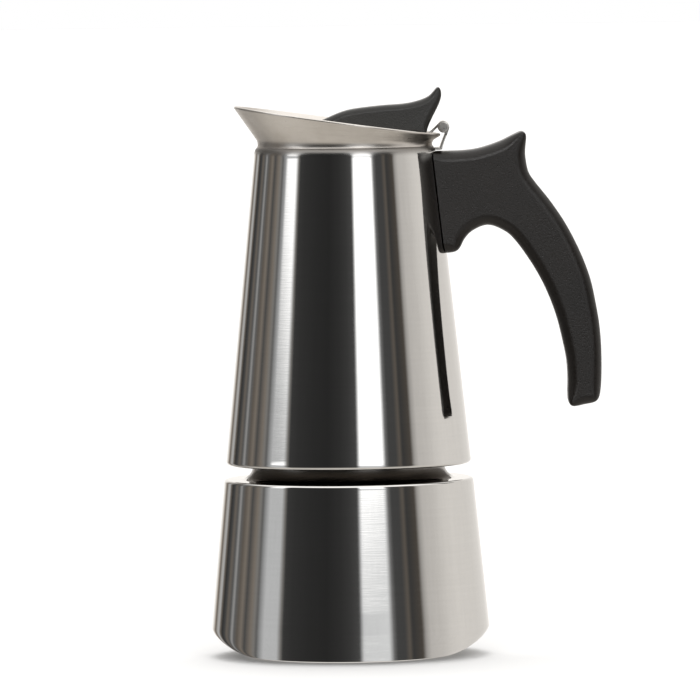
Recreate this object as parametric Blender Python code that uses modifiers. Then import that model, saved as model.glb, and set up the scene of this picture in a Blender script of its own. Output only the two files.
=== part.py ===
"""Stove-top moka pot: conical steel boiler and collector, black plastic handle
and lid fin.  Metres, +Z up.  Origin at the centre of the flat base, handle
towards +X, spout towards -X, safety valve on the +Y side."""

import math

import bmesh
import bpy
from mathutils import Matrix, Vector

MM = 0.001
GAP = 0.3                      # play kept between touching pieces, mm
STEPS = 40                     # facets round a large turned piece

# ---------------------------------------------------------------- boiler
BASE_R = 34.6                  # flat base disc
BASE_T = 2.7
BELLY_R = 50.2                 # widest radius, near the bottom
BELLY_Z = 10.5
FOOT_R = 36.2                  # where the sloping corner meets the base
CORNER_N = 1.45                # fullness of the corner curve, 1 is a chamfer
RIM_R = 45.1                   # upper corner of the boiler
RIM_Z = 64.3
WALL = 1.2
NECK_R = 34.6                  # threaded neck, outside
NECK_BORE = 32.6
NECK_TOP = 79.0
NECK_FILLET = 5.0

# ---------------------------------------------------------------- collector
COLL_BOTTOM = 69.5
COLL_R0 = 44.4                 # at the lower edge
COLL_SLOPE = 0.1035            # radius lost per mm of height
COLL_TOP = 181.0               # where the shoulder starts to roll in
CREASE_R = 30.9
CREASE_Z = 185.3
COLL_WALL = 1.0
SKIRT_BORE = 35.3              # threaded skirt inside the collector
FLOOR_Z = 84.3

# ---------------------------------------------------------------- spout collar
RIM_FRONT = (-39.8, 198.8)     # tip of the spout, X and Z
RIM_BACK = (34.8, 187.9)       # rim beside the hinge
FLARE_FRONT = 0.69             # radius gained per mm of height
COLLAR_T = 1.0

# ---------------------------------------------------------------- hinge, handle
HINGE_X = 35.7
HINGE_Z = 191.0
KNUCKLE_R = 2.1
PIN_R = 1.2
HANDLE_HALF = 9.5              # half width of the handle across Y
SCREW_X = 51.0

# ---------------------------------------------------------------- safety valve
VALVE_Z = 50.0
VALVE_TILT = math.atan(0.0924)

for ob in list(bpy.data.objects):
    bpy.data.objects.remove(ob, do_unlink=True)

parts = bpy.data.collections.new("moka_pot")
cutters = bpy.data.collections.new("cutters")
bpy.context.scene.collection.children.link(parts)
bpy.context.scene.collection.children.link(cutters)


# ================================================================= helpers
def material(name, colour, roughness, metallic):
    mat = bpy.data.materials.new(name)
    mat.use_nodes = True
    bsdf = mat.node_tree.nodes["Principled BSDF"]
    bsdf.inputs["Base Color"].default_value = (*colour, 1.0)
    bsdf.inputs["Roughness"].default_value = roughness
    bsdf.inputs["Metallic"].default_value = metallic
    mat.diffuse_color = (*colour, 1.0)
    return mat


STEEL = ((0.62, 0.61, 0.60), 0.12, 1.0)
SATIN = ((0.56, 0.54, 0.51), 0.34, 1.0)
BLACK = ((0.028, 0.028, 0.027), 0.5, 0.0)
BRASS = ((0.72, 0.52, 0.24), 0.28, 1.0)
ALU = ((0.68, 0.68, 0.69), 0.35, 1.0)
WHITE = ((0.82, 0.81, 0.77), 0.6, 0.0)
SPRING = ((0.5, 0.5, 0.5), 0.25, 1.0)


def put(name, mesh, look=None, cutter=False):
    ob = bpy.data.objects.new(name, mesh)
    if cutter:
        cutters.objects.link(ob)
        ob.hide_render = True
        ob.display_type = "WIRE"
    else:
        parts.objects.link(ob)
        ob.data.materials.append(material(name, *look))
    return ob


def evaluated_mesh(ob):
    deps = bpy.context.evaluated_depsgraph_get()
    deps.update()
    return bpy.data.meshes.new_from_object(ob.evaluated_get(deps))


def finish(ob, angle=35.0):
    """Fix the shape made by the modifiers and shade it smooth."""
    mesh = evaluated_mesh(ob)
    ob.modifiers.clear()
    old = ob.data
    ob.data = mesh
    if old.users == 0:
        bpy.data.meshes.remove(old)
    mesh.shade_smooth()
    mesh.set_sharp_from_angle(angle=math.radians(angle))
    return ob


def area2(points):
    return sum(a[0] * b[1] - b[0] * a[1]
               for a, b in zip(points, points[1:] + points[:1]))


def turned(name, profile, look=None, steps=STEPS, cutter=False):
    """Solid of revolution about Z from (radius, height) points in mm.  The
    outer side always runs from top to bottom."""
    pts = list(profile)
    if area2(pts) > 0:
        pts.reverse()
    on_axis = [i for i, p in enumerate(pts) if p[0] < 1e-9]
    closed = not on_axis
    if on_axis:
        # rotate the list so that it starts and ends on the axis
        n = len(pts)
        for k in range(n):
            a, b = pts[k - 1], pts[k]
            if a[0] < 1e-9 and b[0] < 1e-9:
                pts = pts[k:] + pts[:k]
                break
    mesh = bpy.data.meshes.new(name)
    bm = bmesh.new()
    verts = [bm.verts.new((r * MM, 0.0, z * MM)) for r, z in pts]
    for a, b in zip(verts, verts[1:]):
        bm.edges.new((a, b))
    if closed:
        bm.edges.new((verts[-1], verts[0]))
    bm.to_mesh(mesh)
    bm.free()
    ob = put(name, mesh, look, cutter)
    mod = ob.modifiers.new("Screw", "SCREW")
    mod.axis = "Z"
    mod.angle = math.tau
    mod.steps = steps
    mod.render_steps = steps
    mod.use_merge_vertices = True
    mod.merge_threshold = 0.000002
    mod.use_smooth_shade = True
    if cutter:
        finish(ob)
    return ob


def outline(name, loops, half, look=None, plane="XZ", cutter=False):
    """Flat plate from closed outlines, extruded to both sides by half."""
    cu = bpy.data.curves.new(name, "CURVE")
    cu.dimensions = "2D"
    cu.fill_mode = "BOTH"
    cu.extrude = half * MM
    for loop in loops:
        sp = cu.splines.new("POLY")
        sp.points.add(len(loop) - 1)
        for p, (u, v) in zip(sp.points, loop):
            p.co = (u * MM, v * MM, 0.0, 1.0)
        sp.use_cyclic_u = True
    tmp = bpy.data.objects.new(name + "_curve", cu)
    bpy.context.scene.collection.objects.link(tmp)
    if plane == "XZ":
        tmp.rotation_euler = (math.pi / 2, 0.0, 0.0)
    bpy.context.view_layer.update()
    mesh = evaluated_mesh(tmp)
    mesh.transform(tmp.matrix_world)
    bpy.data.objects.remove(tmp, do_unlink=True)
    bm = bmesh.new()
    bm.from_mesh(mesh)
    bmesh.ops.remove_doubles(bm, verts=bm.verts, dist=0.000002)
    bmesh.ops.recalc_face_normals(bm, faces=bm.faces)
    bm.to_mesh(mesh)
    bm.free()
    mesh.name = name
    return put(name, mesh, look, cutter)


def box(name, lo, hi, look=None, cutter=True):
    mesh = bpy.data.meshes.new(name)
    bm = bmesh.new()
    bmesh.ops.create_cube(bm, size=1.0)
    size = [(b - a) * MM for a, b in zip(lo, hi)]
    mid = [(a + b) * 0.5 * MM for a, b in zip(lo, hi)]
    bmesh.ops.scale(bm, vec=size, verts=bm.verts)
    bmesh.ops.translate(bm, vec=mid, verts=bm.verts)
    bm.to_mesh(mesh)
    bm.free()
    return put(name, mesh, look, cutter)


def rod(name, radius, lo, hi, look=None, steps=20, cutter=True, axis="Z",
        at=(0.0, 0.0), radius2=None):
    """Cylinder from lo to hi along one axis; at gives the other two
    coordinates in X, Y, Z order."""
    mesh = bpy.data.meshes.new(name)
    bm = bmesh.new()
    bmesh.ops.create_cone(bm, cap_ends=True, segments=steps,
                          radius1=radius * MM,
                          radius2=(radius if radius2 is None else radius2) * MM,
                          depth=(hi - lo) * MM)
    mid = (hi + lo) * 0.5 * MM
    u, v = at[0] * MM, at[1] * MM
    if axis == "Z":
        mat = Matrix.Translation((u, v, mid))
    elif axis == "Y":
        mat = (Matrix.Translation((u, mid, v))
               @ Matrix.Rotation(-math.pi / 2, 4, "X"))
    else:
        mat = (Matrix.Translation((mid, u, v))
               @ Matrix.Rotation(math.pi / 2, 4, "Y"))
    bmesh.ops.transform(bm, matrix=mat, verts=bm.verts)
    bm.to_mesh(mesh)
    bm.free()
    return put(name, mesh, look, cutter)


def boolean(ob, other, operation="DIFFERENCE"):
    mod = ob.modifiers.new(operation.title(), "BOOLEAN")
    mod.operation = operation
    mod.solver = "EXACT"
    mod.object = other
    return mod


def bevel(ob, width, segments=2, angle=40.0):
    mod = ob.modifiers.new("Bevel", "BEVEL")
    mod.width = width * MM
    mod.segments = segments
    mod.limit_method = "ANGLE"
    mod.angle_limit = math.radians(angle)
    mod.use_clamp_overlap = True
    return mod


def arc(cx, cz, r, a0, a1, n):
    return [(cx + r * math.cos(math.radians(a0 + (a1 - a0) * i / n)),
             cz + r * math.sin(math.radians(a0 + (a1 - a0) * i / n)))
            for i in range(n + 1)]


def smooth(points, per=3):
    """Catmull-Rom points through an open run of design points."""
    out = []
    n = len(points)
    for i in range(n - 1):
        p0 = points[max(i - 1, 0)]
        p1, p2 = points[i], points[i + 1]
        p3 = points[min(i + 2, n - 1)]
        for k in range(per):
            t = k / per
            out.append(tuple(
                0.5 * (2 * b + (c - a) * t + (2 * a - 5 * b + 4 * c - d) * t * t
                       + (3 * b - a - 3 * c + d) * t ** 3)
                for a, b, c, d in zip(p0, p1, p2, p3)))
    out.append(points[-1])
    return out


def circle(cx, cy, r, n):
    return [(cx + r * math.cos(math.tau * i / n),
             cy + r * math.sin(math.tau * i / n)) for i in range(n)]


def coll_r(z):
    return COLL_R0 - COLL_SLOPE * (z - COLL_BOTTOM)


# ================================================================= boiler
wall_slope = (BELLY_R - RIM_R) / (RIM_Z - 1.2 - BELLY_Z)
outer = [(NECK_R, NECK_TOP)]
outer += arc(NECK_R + NECK_FILLET, RIM_Z + NECK_FILLET, NECK_FILLET, 180, 270, 4)
outer += arc(RIM_R - 1.2, RIM_Z - 1.2, 1.2, 90, 5, 3)
for k in range(7):
    # superellipse quarter from the belly down to the foot
    v = 1.0 - k / 6.0 if k < 6 else 0.03
    v = v ** 1.25
    u = (1.0 - (1.0 - v) ** CORNER_N) ** (1.0 / CORNER_N)
    outer.append((FOOT_R + (BELLY_R - FOOT_R) * u,
                  0.25 + (BELLY_Z - 0.25) * v))
FLOOR_R = BASE_R + GAP
outer += [(FLOOR_R + GAP, 0.25), (FLOOR_R + GAP, BASE_T + GAP + WALL)]
inner = [(37.5, BASE_T + GAP + WALL),
         (42.5, 5.0), (46.6, 7.9), (48.8, 11.2),
         (RIM_R - 1.3, RIM_Z - 2.4), (RIM_R - 2.4, RIM_Z - WALL),
         (38.5, RIM_Z - WALL), (NECK_BORE, 67.5), (NECK_BORE, NECK_TOP)]
boiler = turned("boiler_shell", inner + outer, STEEL)

valve_r = RIM_R + wall_slope * (RIM_Z - 1.2 - VALVE_Z)
VALVE_M = (Matrix.Translation((0.0, valve_r * MM, VALVE_Z * MM))
           @ Matrix.Rotation(VALVE_TILT - math.pi / 2, 4, "X"))


def along_valve(ob):
    """Turn a piece made along Z so that it lies along the valve's axis."""
    ob.data.transform(VALVE_M)
    return ob


valve_hole = along_valve(rod("cut_valve_hole", 5.3, -8.0, 6.0, steps=24))
boolean(boiler, valve_hole)
finish(boiler)

turned("boiler_floor", [(0.0, BASE_T + GAP), (FLOOR_R, BASE_T + GAP),
                        (FLOOR_R, BASE_T + GAP + WALL),
                        (0.0, BASE_T + GAP + WALL)], STEEL)
finish(bpy.data.objects["boiler_floor"])
turned("base_plate", [(0.0, 0.0), (BASE_R - 0.6, 0.0), (BASE_R, 0.6),
                      (BASE_R, BASE_T), (0.0, BASE_T)], ALU)
finish(bpy.data.objects["base_plate"])

# ---- safety valve: hex body with a stepped bore, seal, spring and plunger
valve_body = turned("valve_body", [(5.0, -6.0), (5.0, 3.0), (5.6, 3.0),
                                   (5.6, 6.8), (4.0, 7.4), (4.0, 9.0),
                                   (1.75, 9.0), (1.75, 6.2), (3.6, 6.2),
                                   (3.6, -4.6), (2.2, -4.6), (2.2, -6.0)],
                    BRASS, steps=24)
finish(valve_body)
along_valve(valve_body)
hexagon = along_valve(rod("cut_valve_hex", 7.5, 1.9, 6.4, steps=6))
hex_bore = along_valve(rod("cut_valve_hex_bore", 4.6, 0.5, 8.0, steps=24))
boolean(hexagon, hex_bore)
finish(hexagon)
boolean(valve_body, hexagon, "UNION")
finish(valve_body)

washer = turned("valve_washer", [(5.3, 0.85), (7.4, 0.85), (7.4, 1.6),
                                 (5.3, 1.6)], WHITE, steps=24)
finish(washer)
along_valve(washer)

plunger = turned("valve_pin", [(0.0, -4.3), (3.1, -4.3), (3.1, -2.8),
                               (1.4, -2.8), (1.4, 10.2), (1.0, 10.6),
                               (0.0, 10.6)], STEEL, steps=20)
finish(plunger)
along_valve(plunger)

coil_turns, coil_r, coil_wire = 4.0, 2.5, 0.3
coil_lo, coil_hi = -2.1, 5.5
n_coil = int(coil_turns * 10)
coil = bpy.data.curves.new("valve_spring", "CURVE")
coil.dimensions = "3D"
coil.bevel_depth = coil_wire * MM
coil.bevel_resolution = 2
coil.use_fill_caps = True
spline = coil.splines.new("POLY")
spline.points.add(n_coil)
for i, p in enumerate(spline.points):
    t = i / n_coil
    a = math.tau * coil_turns * t
    rise = coil_lo + (coil_hi - coil_lo) * t
    p.co = (coil_r * math.cos(a) * MM, coil_r * math.sin(a) * MM, rise * MM, 1.0)
coil_tmp = bpy.data.objects.new("coil_tmp", coil)
bpy.context.scene.collection.objects.link(coil_tmp)
coil_mesh = evaluated_mesh(coil_tmp)
bpy.data.objects.remove(coil_tmp, do_unlink=True)
bm = bmesh.new()
bm.from_mesh(coil_mesh)
bmesh.ops.remove_doubles(bm, verts=bm.verts, dist=0.000002)
bmesh.ops.recalc_face_normals(bm, faces=bm.faces)
bm.to_mesh(coil_mesh)
bm.free()
coil_mesh.transform(VALVE_M)
coil_mesh.shade_smooth()
put("valve_spring", coil_mesh, SPRING)

# ================================================================= funnel
cup = turned("funnel_cup", [
    (33.8, NECK_TOP + GAP), (33.8, NECK_TOP + GAP + 0.8),
    (30.2, NECK_TOP + GAP + 0.8), (30.0, 79.0), (30.0, 60.9),
    (30.8, 60.9), (30.8, NECK_TOP + GAP)], STEEL)
finish(cup)
turned("funnel_cone", [(30.0, 60.6), (28.6, 60.4), (5.3, 51.0), (5.3, 50.2),
                       (6.2, 50.6), (29.4, 59.9), (30.8, 60.6)], STEEL)
finish(bpy.data.objects["funnel_cone"])
turned("funnel_socket", [(5.3, 49.9), (5.3, 45.0), (6.2, 45.0), (6.2, 49.9)],
       STEEL, steps=24)
finish(bpy.data.objects["funnel_socket"])
turned("funnel_stem", [(4.2, 8.0), (5.0, 8.0), (5.0, 50.0), (4.2, 50.0)],
       STEEL, steps=24)
stem_cut = rod("cut_stem_notch", 2.6, -8.0, 8.0, axis="Y", at=(0.0, 8.0),
               steps=16)
boolean(bpy.data.objects["funnel_stem"], stem_cut)
finish(bpy.data.objects["funnel_stem"])


def perforated(name, radius, z0, z1, rings, hole, look, centre_hole=True):
    """Round plate with rings of small holes, (ring radius, count)."""
    loops = [circle(0, 0, radius, STEPS)]
    if centre_hole:
        loops.append(circle(0, 0, hole, 6))
    for ring, count in rings:
        for i in range(count):
            a = math.tau * i / count
            loops.append(circle(ring * math.cos(a), ring * math.sin(a), hole, 6))
    ob = outline(name, loops, (z1 - z0) / 2, look, plane="XY")
    ob.data.transform(Matrix.Translation((0, 0, (z0 + z1) / 2 * MM)))
    ob.data.shade_smooth()
    ob.data.set_sharp_from_angle(angle=math.radians(35))
    return ob


perforated("basket_filter", 29.5, 60.9, 61.6, [(8.0, 6), (16.0, 12), (24.0, 18)],
           1.1, STEEL)

# ================================================================= seal, strainer
turned("gasket", [(26.0, 80.45), (34.2, 80.45), (34.2, 83.0), (26.0, 83.0)],
       WHITE)
finish(bpy.data.objects["gasket"])
perforated("filter_plate", 34.4, 83.3, 84.0, [(6.0, 6), (12.0, 12), (18.0, 18)],
           0.9, STEEL)

# ================================================================= collector
shell_outer = [(CREASE_R, CREASE_Z), (CREASE_R + 0.3, 184.4),
               (coll_r(COLL_TOP) - 0.65, 182.7), (coll_r(COLL_TOP), COLL_TOP),
               (coll_r(130), 130.0), (coll_r(COLL_BOTTOM + 1.6), COLL_BOTTOM + 1.6),
               (COLL_R0 - 0.25, COLL_BOTTOM + 0.4), (COLL_R0 - 0.9, COLL_BOTTOM)]
shell_inner = [(COLL_R0 - 1.4, COLL_BOTTOM), (COLL_R0 - 1.4, COLL_BOTTOM + 1.2),
               (coll_r(130) - COLL_WALL, 130.0),
               (coll_r(COLL_TOP) - COLL_WALL, COLL_TOP - 0.2),
               (CREASE_R - 0.6, 183.7), (CREASE_R - COLL_WALL, CREASE_Z)]
shell = turned("collector_shell", shell_outer + shell_inner, STEEL)
finish(shell)

base = turned("collector_base", [
    (36.5, FLOOR_Z + 1.0), (36.5, FLOOR_Z), (4.6, FLOOR_Z),
    (4.6, FLOOR_Z + 1.0)], STEEL)
finish(base)
skirt = turned("collector_skirt", [
    (36.5, FLOOR_Z - GAP), (36.5, 71.2), (COLL_R0 - 1.75, 71.2),
    (COLL_R0 - 1.75, 70.0), (SKIRT_BORE, 70.0),
    (SKIRT_BORE, FLOOR_Z - GAP)], STEEL)
finish(skirt)

turned("riser_tube", [(4.6, 85.6), (9.0, 85.6), (9.0, 86.4), (6.6, 87.4),
                      (5.2, 146.0), (5.2, 149.0), (4.2, 149.0), (4.2, 146.0),
                      (5.4, 88.0)], STEEL, steps=28)
finish(bpy.data.objects["riser_tube"])
cap = turned("riser_cap", [(5.5, 142.0), (6.4, 142.0), (6.4, 153.0),
                           (5.4, 154.2), (0.0, 154.2), (0.0, 153.2),
                           (5.0, 153.2), (5.5, 152.6)], STEEL, steps=28)
boolean(cap, box("cut_riser_windows", (-1.8, -9.0, 149.4), (1.8, 9.0, 152.4)))
finish(cap)

# ---- flared spout collar: each side runs straight from the neck to a rim that
# lies in one slanted plane, and the flare is flatter at the back
rim_slope = (RIM_BACK[1] - RIM_FRONT[1]) / (RIM_BACK[0] - RIM_FRONT[0])
COLLAR_Z0 = CREASE_Z + GAP
flare_back = (RIM_BACK[0] - CREASE_R) / (RIM_BACK[1] - COLLAR_Z0)


def rim_point(theta):
    """Radius and height of the rim at an azimuth from the hinge side."""
    w = (1 + math.cos(theta)) / 2
    flare = FLARE_FRONT + (flare_back - FLARE_FRONT) * w ** 3
    z_axis = RIM_FRONT[1] - rim_slope * RIM_FRONT[0]
    r = ((CREASE_R + flare * (z_axis - COLLAR_Z0))
         / (1 - flare * rim_slope * math.cos(theta)))
    return r, z_axis + rim_slope * r * math.cos(theta)


mesh = bpy.data.meshes.new("pouring_collar")
bm = bmesh.new()
low, high = [], []
for i in range(STEPS):
    th = math.tau * i / STEPS
    r, z = rim_point(th)
    low.append(bm.verts.new((CREASE_R * MM * math.cos(th),
                             CREASE_R * MM * math.sin(th), COLLAR_Z0 * MM)))
    high.append(bm.verts.new((r * MM * math.cos(th), r * MM * math.sin(th),
                              z * MM)))
for i in range(STEPS):
    j = (i + 1) % STEPS
    bm.faces.new((low[i], low[j], high[j], high[i]))
bm.to_mesh(mesh)
bm.free()
collar = put("pouring_collar", mesh, SATIN)
mod = collar.modifiers.new("Solidify", "SOLIDIFY")
mod.thickness = COLLAR_T * MM
mod.offset = -1.0
mod.use_even_offset = True
# the rolled lower edge is trimmed level so that it sits on the shoulder
boolean(collar, box("cut_collar_foot", (-60, -60, 170), (60, 60, COLLAR_Z0)))
finish(collar)

# ================================================================= handle
# outer side from the body over the horn and down the grip
over = smooth([(28.0, 182.2), (36.0, 182.2), (43.4, 182.4), (49.2, 183.3),
               (55.7, 185.4), (60.4, 187.6), (63.4, 189.0)], 2)
horn = [(64.3, 189.1), (65.2, 188.5), (65.5, 187.3)]
grip_out = smooth([(65.2, 184.0), (65.1, 180.0), (66.1, 174.6), (68.5, 170.8),
                   (73.9, 163.9), (78.8, 156.6), (82.7, 149.3), (85.9, 142.0),
                   (88.3, 134.8), (89.9, 127.0), (91.1, 119.5), (91.7, 112.0),
                   (91.8, 104.0), (91.6, 98.0), (91.0, 93.6)], 2)
tip = [(90.3, 91.8), (89.1, 90.9), (85.2, 90.2), (81.3, 89.6), (80.0, 90.0),
       (79.6, 91.2)]
grip_in = smooth([(79.5, 95.0), (79.6, 100.0), (79.2, 106.5), (77.9, 113.2),
                  (76.2, 120.5), (73.8, 127.7), (70.6, 135.0), (66.4, 142.3),
                  (61.4, 149.4), (57.5, 153.1), (51.4, 155.5), (45.8, 153.5),
                  (42.8, 150.5), (41.3, 147.6), (39.6, 146.0), (36.0, 145.5),
                  (28.0, 145.5)], 2)
handle = outline("handle", [over + horn + grip_out + tip + grip_in],
                 HANDLE_HALF, BLACK)
bevel(handle, 2.2, 2)
finish(handle)
saddle = turned("cut_handle_saddle", [
    (0.0, 186.0), (CREASE_R + 0.4, 186.0), (CREASE_R + 0.7, 184.6),
    (coll_r(COLL_TOP) - 0.3, 182.9), (coll_r(COLL_TOP) + 0.35, COLL_TOP),
    (coll_r(130) + 0.35, 130.0), (coll_r(120) + 0.35, 120.0), (0.0, 120.0)],
    cutter=True)
boolean(handle, saddle)

# ---- bracket: a curved pad welded to the collector with a flat tongue
PAD_Z = (152.0, 178.0)
PAD_HALF = 6.5
TONGUE_Z = (165.0, 166.6)
TONGUE_X = 57.0


def pad_ring(name, lo, hi, grow, cutter):
    """Ring that follows the collector's slope, offset outwards."""
    z0, z1 = PAD_Z[0] - grow, PAD_Z[1] + grow
    return turned(name, [(coll_r(z1) + hi, z1), (coll_r(z0) + hi, z0),
                         (coll_r(z0) + lo, z0), (coll_r(z1) + lo, z1)],
                  None if cutter else STEEL, cutter=cutter)


bracket = pad_ring("handle_bracket", 0.3, 1.5, 0.0, False)
boolean(bracket, box("cut_pad_window", (20, -PAD_HALF, 140),
                     (60, PAD_HALF, 185)), "INTERSECT")
boolean(bracket, box("cut_tongue", (36.0, -PAD_HALF + 0.5, TONGUE_Z[0]),
                     (TONGUE_X, PAD_HALF - 0.5, TONGUE_Z[1])), "UNION")
boolean(bracket, rod("cut_tongue_hole", 2.2, 160, 170, at=(SCREW_X, 0)))
# the tongue is trimmed where it would reach into the collector
boolean(bracket, turned("cut_bracket_back", [
    (0.0, 185.0), (coll_r(185.0) + 0.29, 185.0), (coll_r(140.0) + 0.29, 140.0),
    (0.0, 140.0)], cutter=True))
finish(bracket)

pocket = pad_ring("cut_pad_pocket", -0.5, 1.8, 0.3, True)
boolean(pocket, box("cut_pad_pocket_window", (20, -PAD_HALF - 0.3, 140),
                    (60, PAD_HALF + 0.3, 185)), "INTERSECT")
finish(pocket)
boolean(handle, pocket)
boolean(handle, box("cut_tongue_slot",
                    (34.0, -PAD_HALF + 0.2, TONGUE_Z[0] - 0.3),
                    (TONGUE_X + 0.4, PAD_HALF - 0.2, TONGUE_Z[1] + 0.3)))
boolean(handle, rod("cut_screw_bore", 2.2, 150, 171.5, at=(SCREW_X, 0)))
boolean(handle, rod("cut_screw_head", 4.4, 150, 160.0, at=(SCREW_X, 0)))
finish(handle)

screw = turned("handle_screw", [
    (0.0, 156.4), (3.4, 156.4), (4.0, 157.1), (4.0, 159.7), (1.9, 159.7),
    (1.9, 170.2), (1.3, 170.9), (0.0, 170.9)], STEEL, steps=20)
finish(screw)
screw.data.transform(Matrix.Translation((SCREW_X * MM, 0, 0)))
boolean(screw, box("cut_screw_slot", (SCREW_X - 5, -0.5, 155.0),
                   (SCREW_X + 5, 0.5, 157.9)))
finish(screw)

# ================================================================= hinge
bore = circle(HINGE_X, HINGE_Z, PIN_R + 0.08, 20)
leaf = arc(HINGE_X, HINGE_Z, KNUCKLE_R, -11, 290, 20)
leaf += [(36.0, 188.2), (35.4, 186.6), (34.7, 184.9), (34.3, 183.75),
         (32.5, 183.55), (32.5, 182.75), (35.1, 182.75), (35.4, 184.3),
         (36.1, 186.2), (36.9, 188.1)]
hinge = outline("hinge_bracket", [leaf, bore], 8.0, STEEL)
boolean(hinge, rod("cut_knuckle_gap", KNUCKLE_R + 0.35, -3.6, 3.6, axis="Y",
                   at=(HINGE_X, HINGE_Z), steps=24))
finish(hinge)

pin = turned("hinge_pin", [(0.0, -8.4), (1.7, -8.4), (1.7, -8.15),
                           (PIN_R, -8.15), (PIN_R, 8.15), (1.7, 8.15),
                           (1.7, 8.4), (0.0, 8.4)], STEEL, steps=20)
finish(pin)
pin.data.transform(Matrix.Translation((HINGE_X * MM, 0, HINGE_Z * MM))
                   @ Matrix.Rotation(math.pi / 2, 4, "X"))

# ================================================================= lid
DISC_Z = (187.0, 187.8)
LEAF_Z = (188.1, 188.9)
RIVET_X = (12.0, 24.0)
FIN_HALF = 9.0
LID_FLAT = 23.0                # straight front edge, leaves the pouring gap

disc_loop = [p for p in circle(0, 0, 30.0, STEPS) if p[0] > -LID_FLAT]
start = next(i for i, p in enumerate(disc_loop)
             if p[1] < 0 and disc_loop[i - 1][1] > 0)
disc_loop = disc_loop[start:] + disc_loop[:start]
edge_y = math.sqrt(30.0 ** 2 - LID_FLAT ** 2)
disc_loop = [(-LID_FLAT, -edge_y)] + disc_loop + [(-LID_FLAT, edge_y)]
disc = outline("lid_disc", [disc_loop] + [circle(x, 0, 1.85, 16)
                                          for x in RIVET_X],
               (DISC_Z[1] - DISC_Z[0]) / 2, STEEL, plane="XY")
disc.data.transform(Matrix.Translation((0, 0, sum(DISC_Z) / 2 * MM)))
disc.data.shade_smooth()
disc.data.set_sharp_from_angle(angle=math.radians(35))

strap = arc(HINGE_X, HINGE_Z, KNUCKLE_R, 185, 500, 20)
strap += [(30.9, 189.35), (30.2, LEAF_Z[1]), (7.0, LEAF_Z[1]),
          (7.0, LEAF_Z[0]), (30.6, LEAF_Z[0]), (31.45, 188.77)]
lid_leaf = outline("lid_leaf", [strap, bore], 6.0, STEEL)
for side in (-1, 1):
    lo, hi = sorted((side * 3.3, side * 9.0))
    boolean(lid_leaf, box("cut_leaf_side_%s" % ("a" if side < 0 else "b"),
                          (31.2, lo, 180), (45, hi, 200)))
for k, x in enumerate(RIVET_X):
    boolean(lid_leaf, rod("cut_leaf_hole_%d" % k, 1.85, 186, 190.5,
                          at=(x, 0), steps=16))
finish(lid_leaf)

fin_top = smooth([(-21.0, 188.9), (-14.0, 191.4), (-7.0, 194.3),
                  (-1.2, 196.7), (4.0, 197.9), (13.3, 198.9), (21.0, 199.4),
                  (26.0, 200.3), (30.3, 201.9), (32.4, 203.9), (33.7, 205.4)], 2)
fin_back = smooth([(34.6, 205.0), (35.0, 203.6), (34.9, 201.6), (33.8, 198.6),
                   (31.6, 194.3), (30.1, 191.0), (29.4, 188.1)], 2)
fin = outline("lid_cap", [[(-21.0, 188.1)] + fin_top + fin_back], FIN_HALF,
              BLACK)
bevel(fin, 1.6, 2)
finish(fin)


def fin_half(x):
    """Half width of the fin: slim at the front, a little slimmer at the horn."""
    if x < 2.0:
        t = min(1.0, max(0.0, (2.0 - x) / 23.0))
        return FIN_HALF - 5.0 * t * t
    t = min(1.0, max(0.0, (x - 20.0) / 15.0))
    return FIN_HALF - 1.2 * t * t


for v in fin.data.vertices:
    v.co.y *= fin_half(v.co.x / MM) / FIN_HALF
boolean(fin, box("cut_fin_slot", (6.5, -6.3, 186), (36, 6.3, LEAF_Z[1] + 0.3)))
for k, x in enumerate(RIVET_X):
    boolean(fin, rod("cut_fin_hole_%d" % k, 1.85, 186, 194.5, at=(x, 0),
                     steps=16))
finish(fin)

for name, x in zip(("lid_rivet_front", "lid_rivet_back"), RIVET_X):
    rivet = turned(name, [(0.0, 185.2), (1.8, 185.4), (3.0, 186.0),
                          (3.1, 186.7), (1.55, 186.7), (1.55, 194.0),
                          (0.0, 194.0)], STEEL, steps=16)
    finish(rivet)
    rivet.data.transform(Matrix.Translation((x * MM, 0, 0)))

# ================================================================= parenting
def place_origin(ob, point):
    """Move an object's origin without moving its shape."""
    delta = Vector(point) - ob.location
    ob.data.transform(Matrix.Translation(-delta))
    ob.location = Vector(point)


def joint_empty(name, location, children, parent=None):
    empty = bpy.data.objects.new(name, None)
    empty.empty_display_size = 0.01
    parts.objects.link(empty)
    empty.location = location
    if parent is not None:
        empty.parent = parent
        empty.matrix_parent_inverse = Matrix.Translation(-Vector(parent["at"]))
    empty["at"] = list(location)
    for child in children:
        ob = bpy.data.objects[child]
        ob.parent = empty
        ob.matrix_parent_inverse = Matrix.Translation(-Vector(location))
    return empty


valve_point = tuple(VALVE_M.to_translation())
place_origin(bpy.data.objects["valve_pin"], valve_point)
funnel_at = joint_empty("funnel_slide", (0, 0, 0),
                        ["funnel_cup", "funnel_cone", "funnel_socket",
                         "funnel_stem", "basket_filter"])
top_at = joint_empty("top_slide", (0, 0, 0), ["gasket"], funnel_at)
thread_at = joint_empty("thread_slide", (0, 0, 0), ["filter_plate"], top_at)
turn_at = joint_empty("top_turn", (0, 0, 0),
                      ["collector_shell", "collector_base",
                       "collector_skirt", "riser_tube", "riser_cap",
                       "pouring_collar", "handle",
                       "handle_bracket", "handle_screw", "hinge_bracket",
                       "hinge_pin"], thread_at)
joint_empty("lid_turn", (HINGE_X * MM, 0.0, HINGE_Z * MM),
            ["lid_cap", "lid_disc", "lid_leaf", "lid_rivet_front",
             "lid_rivet_back"], turn_at)
bpy.context.view_layer.update()
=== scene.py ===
"""Looks for the stove-top moka pot: polished steel vessels, satin spout collar,
grained black handle and lid fin, set in a plain studio."""
import math

import bmesh
import bpy
from mathutils import Matrix, Vector


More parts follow.
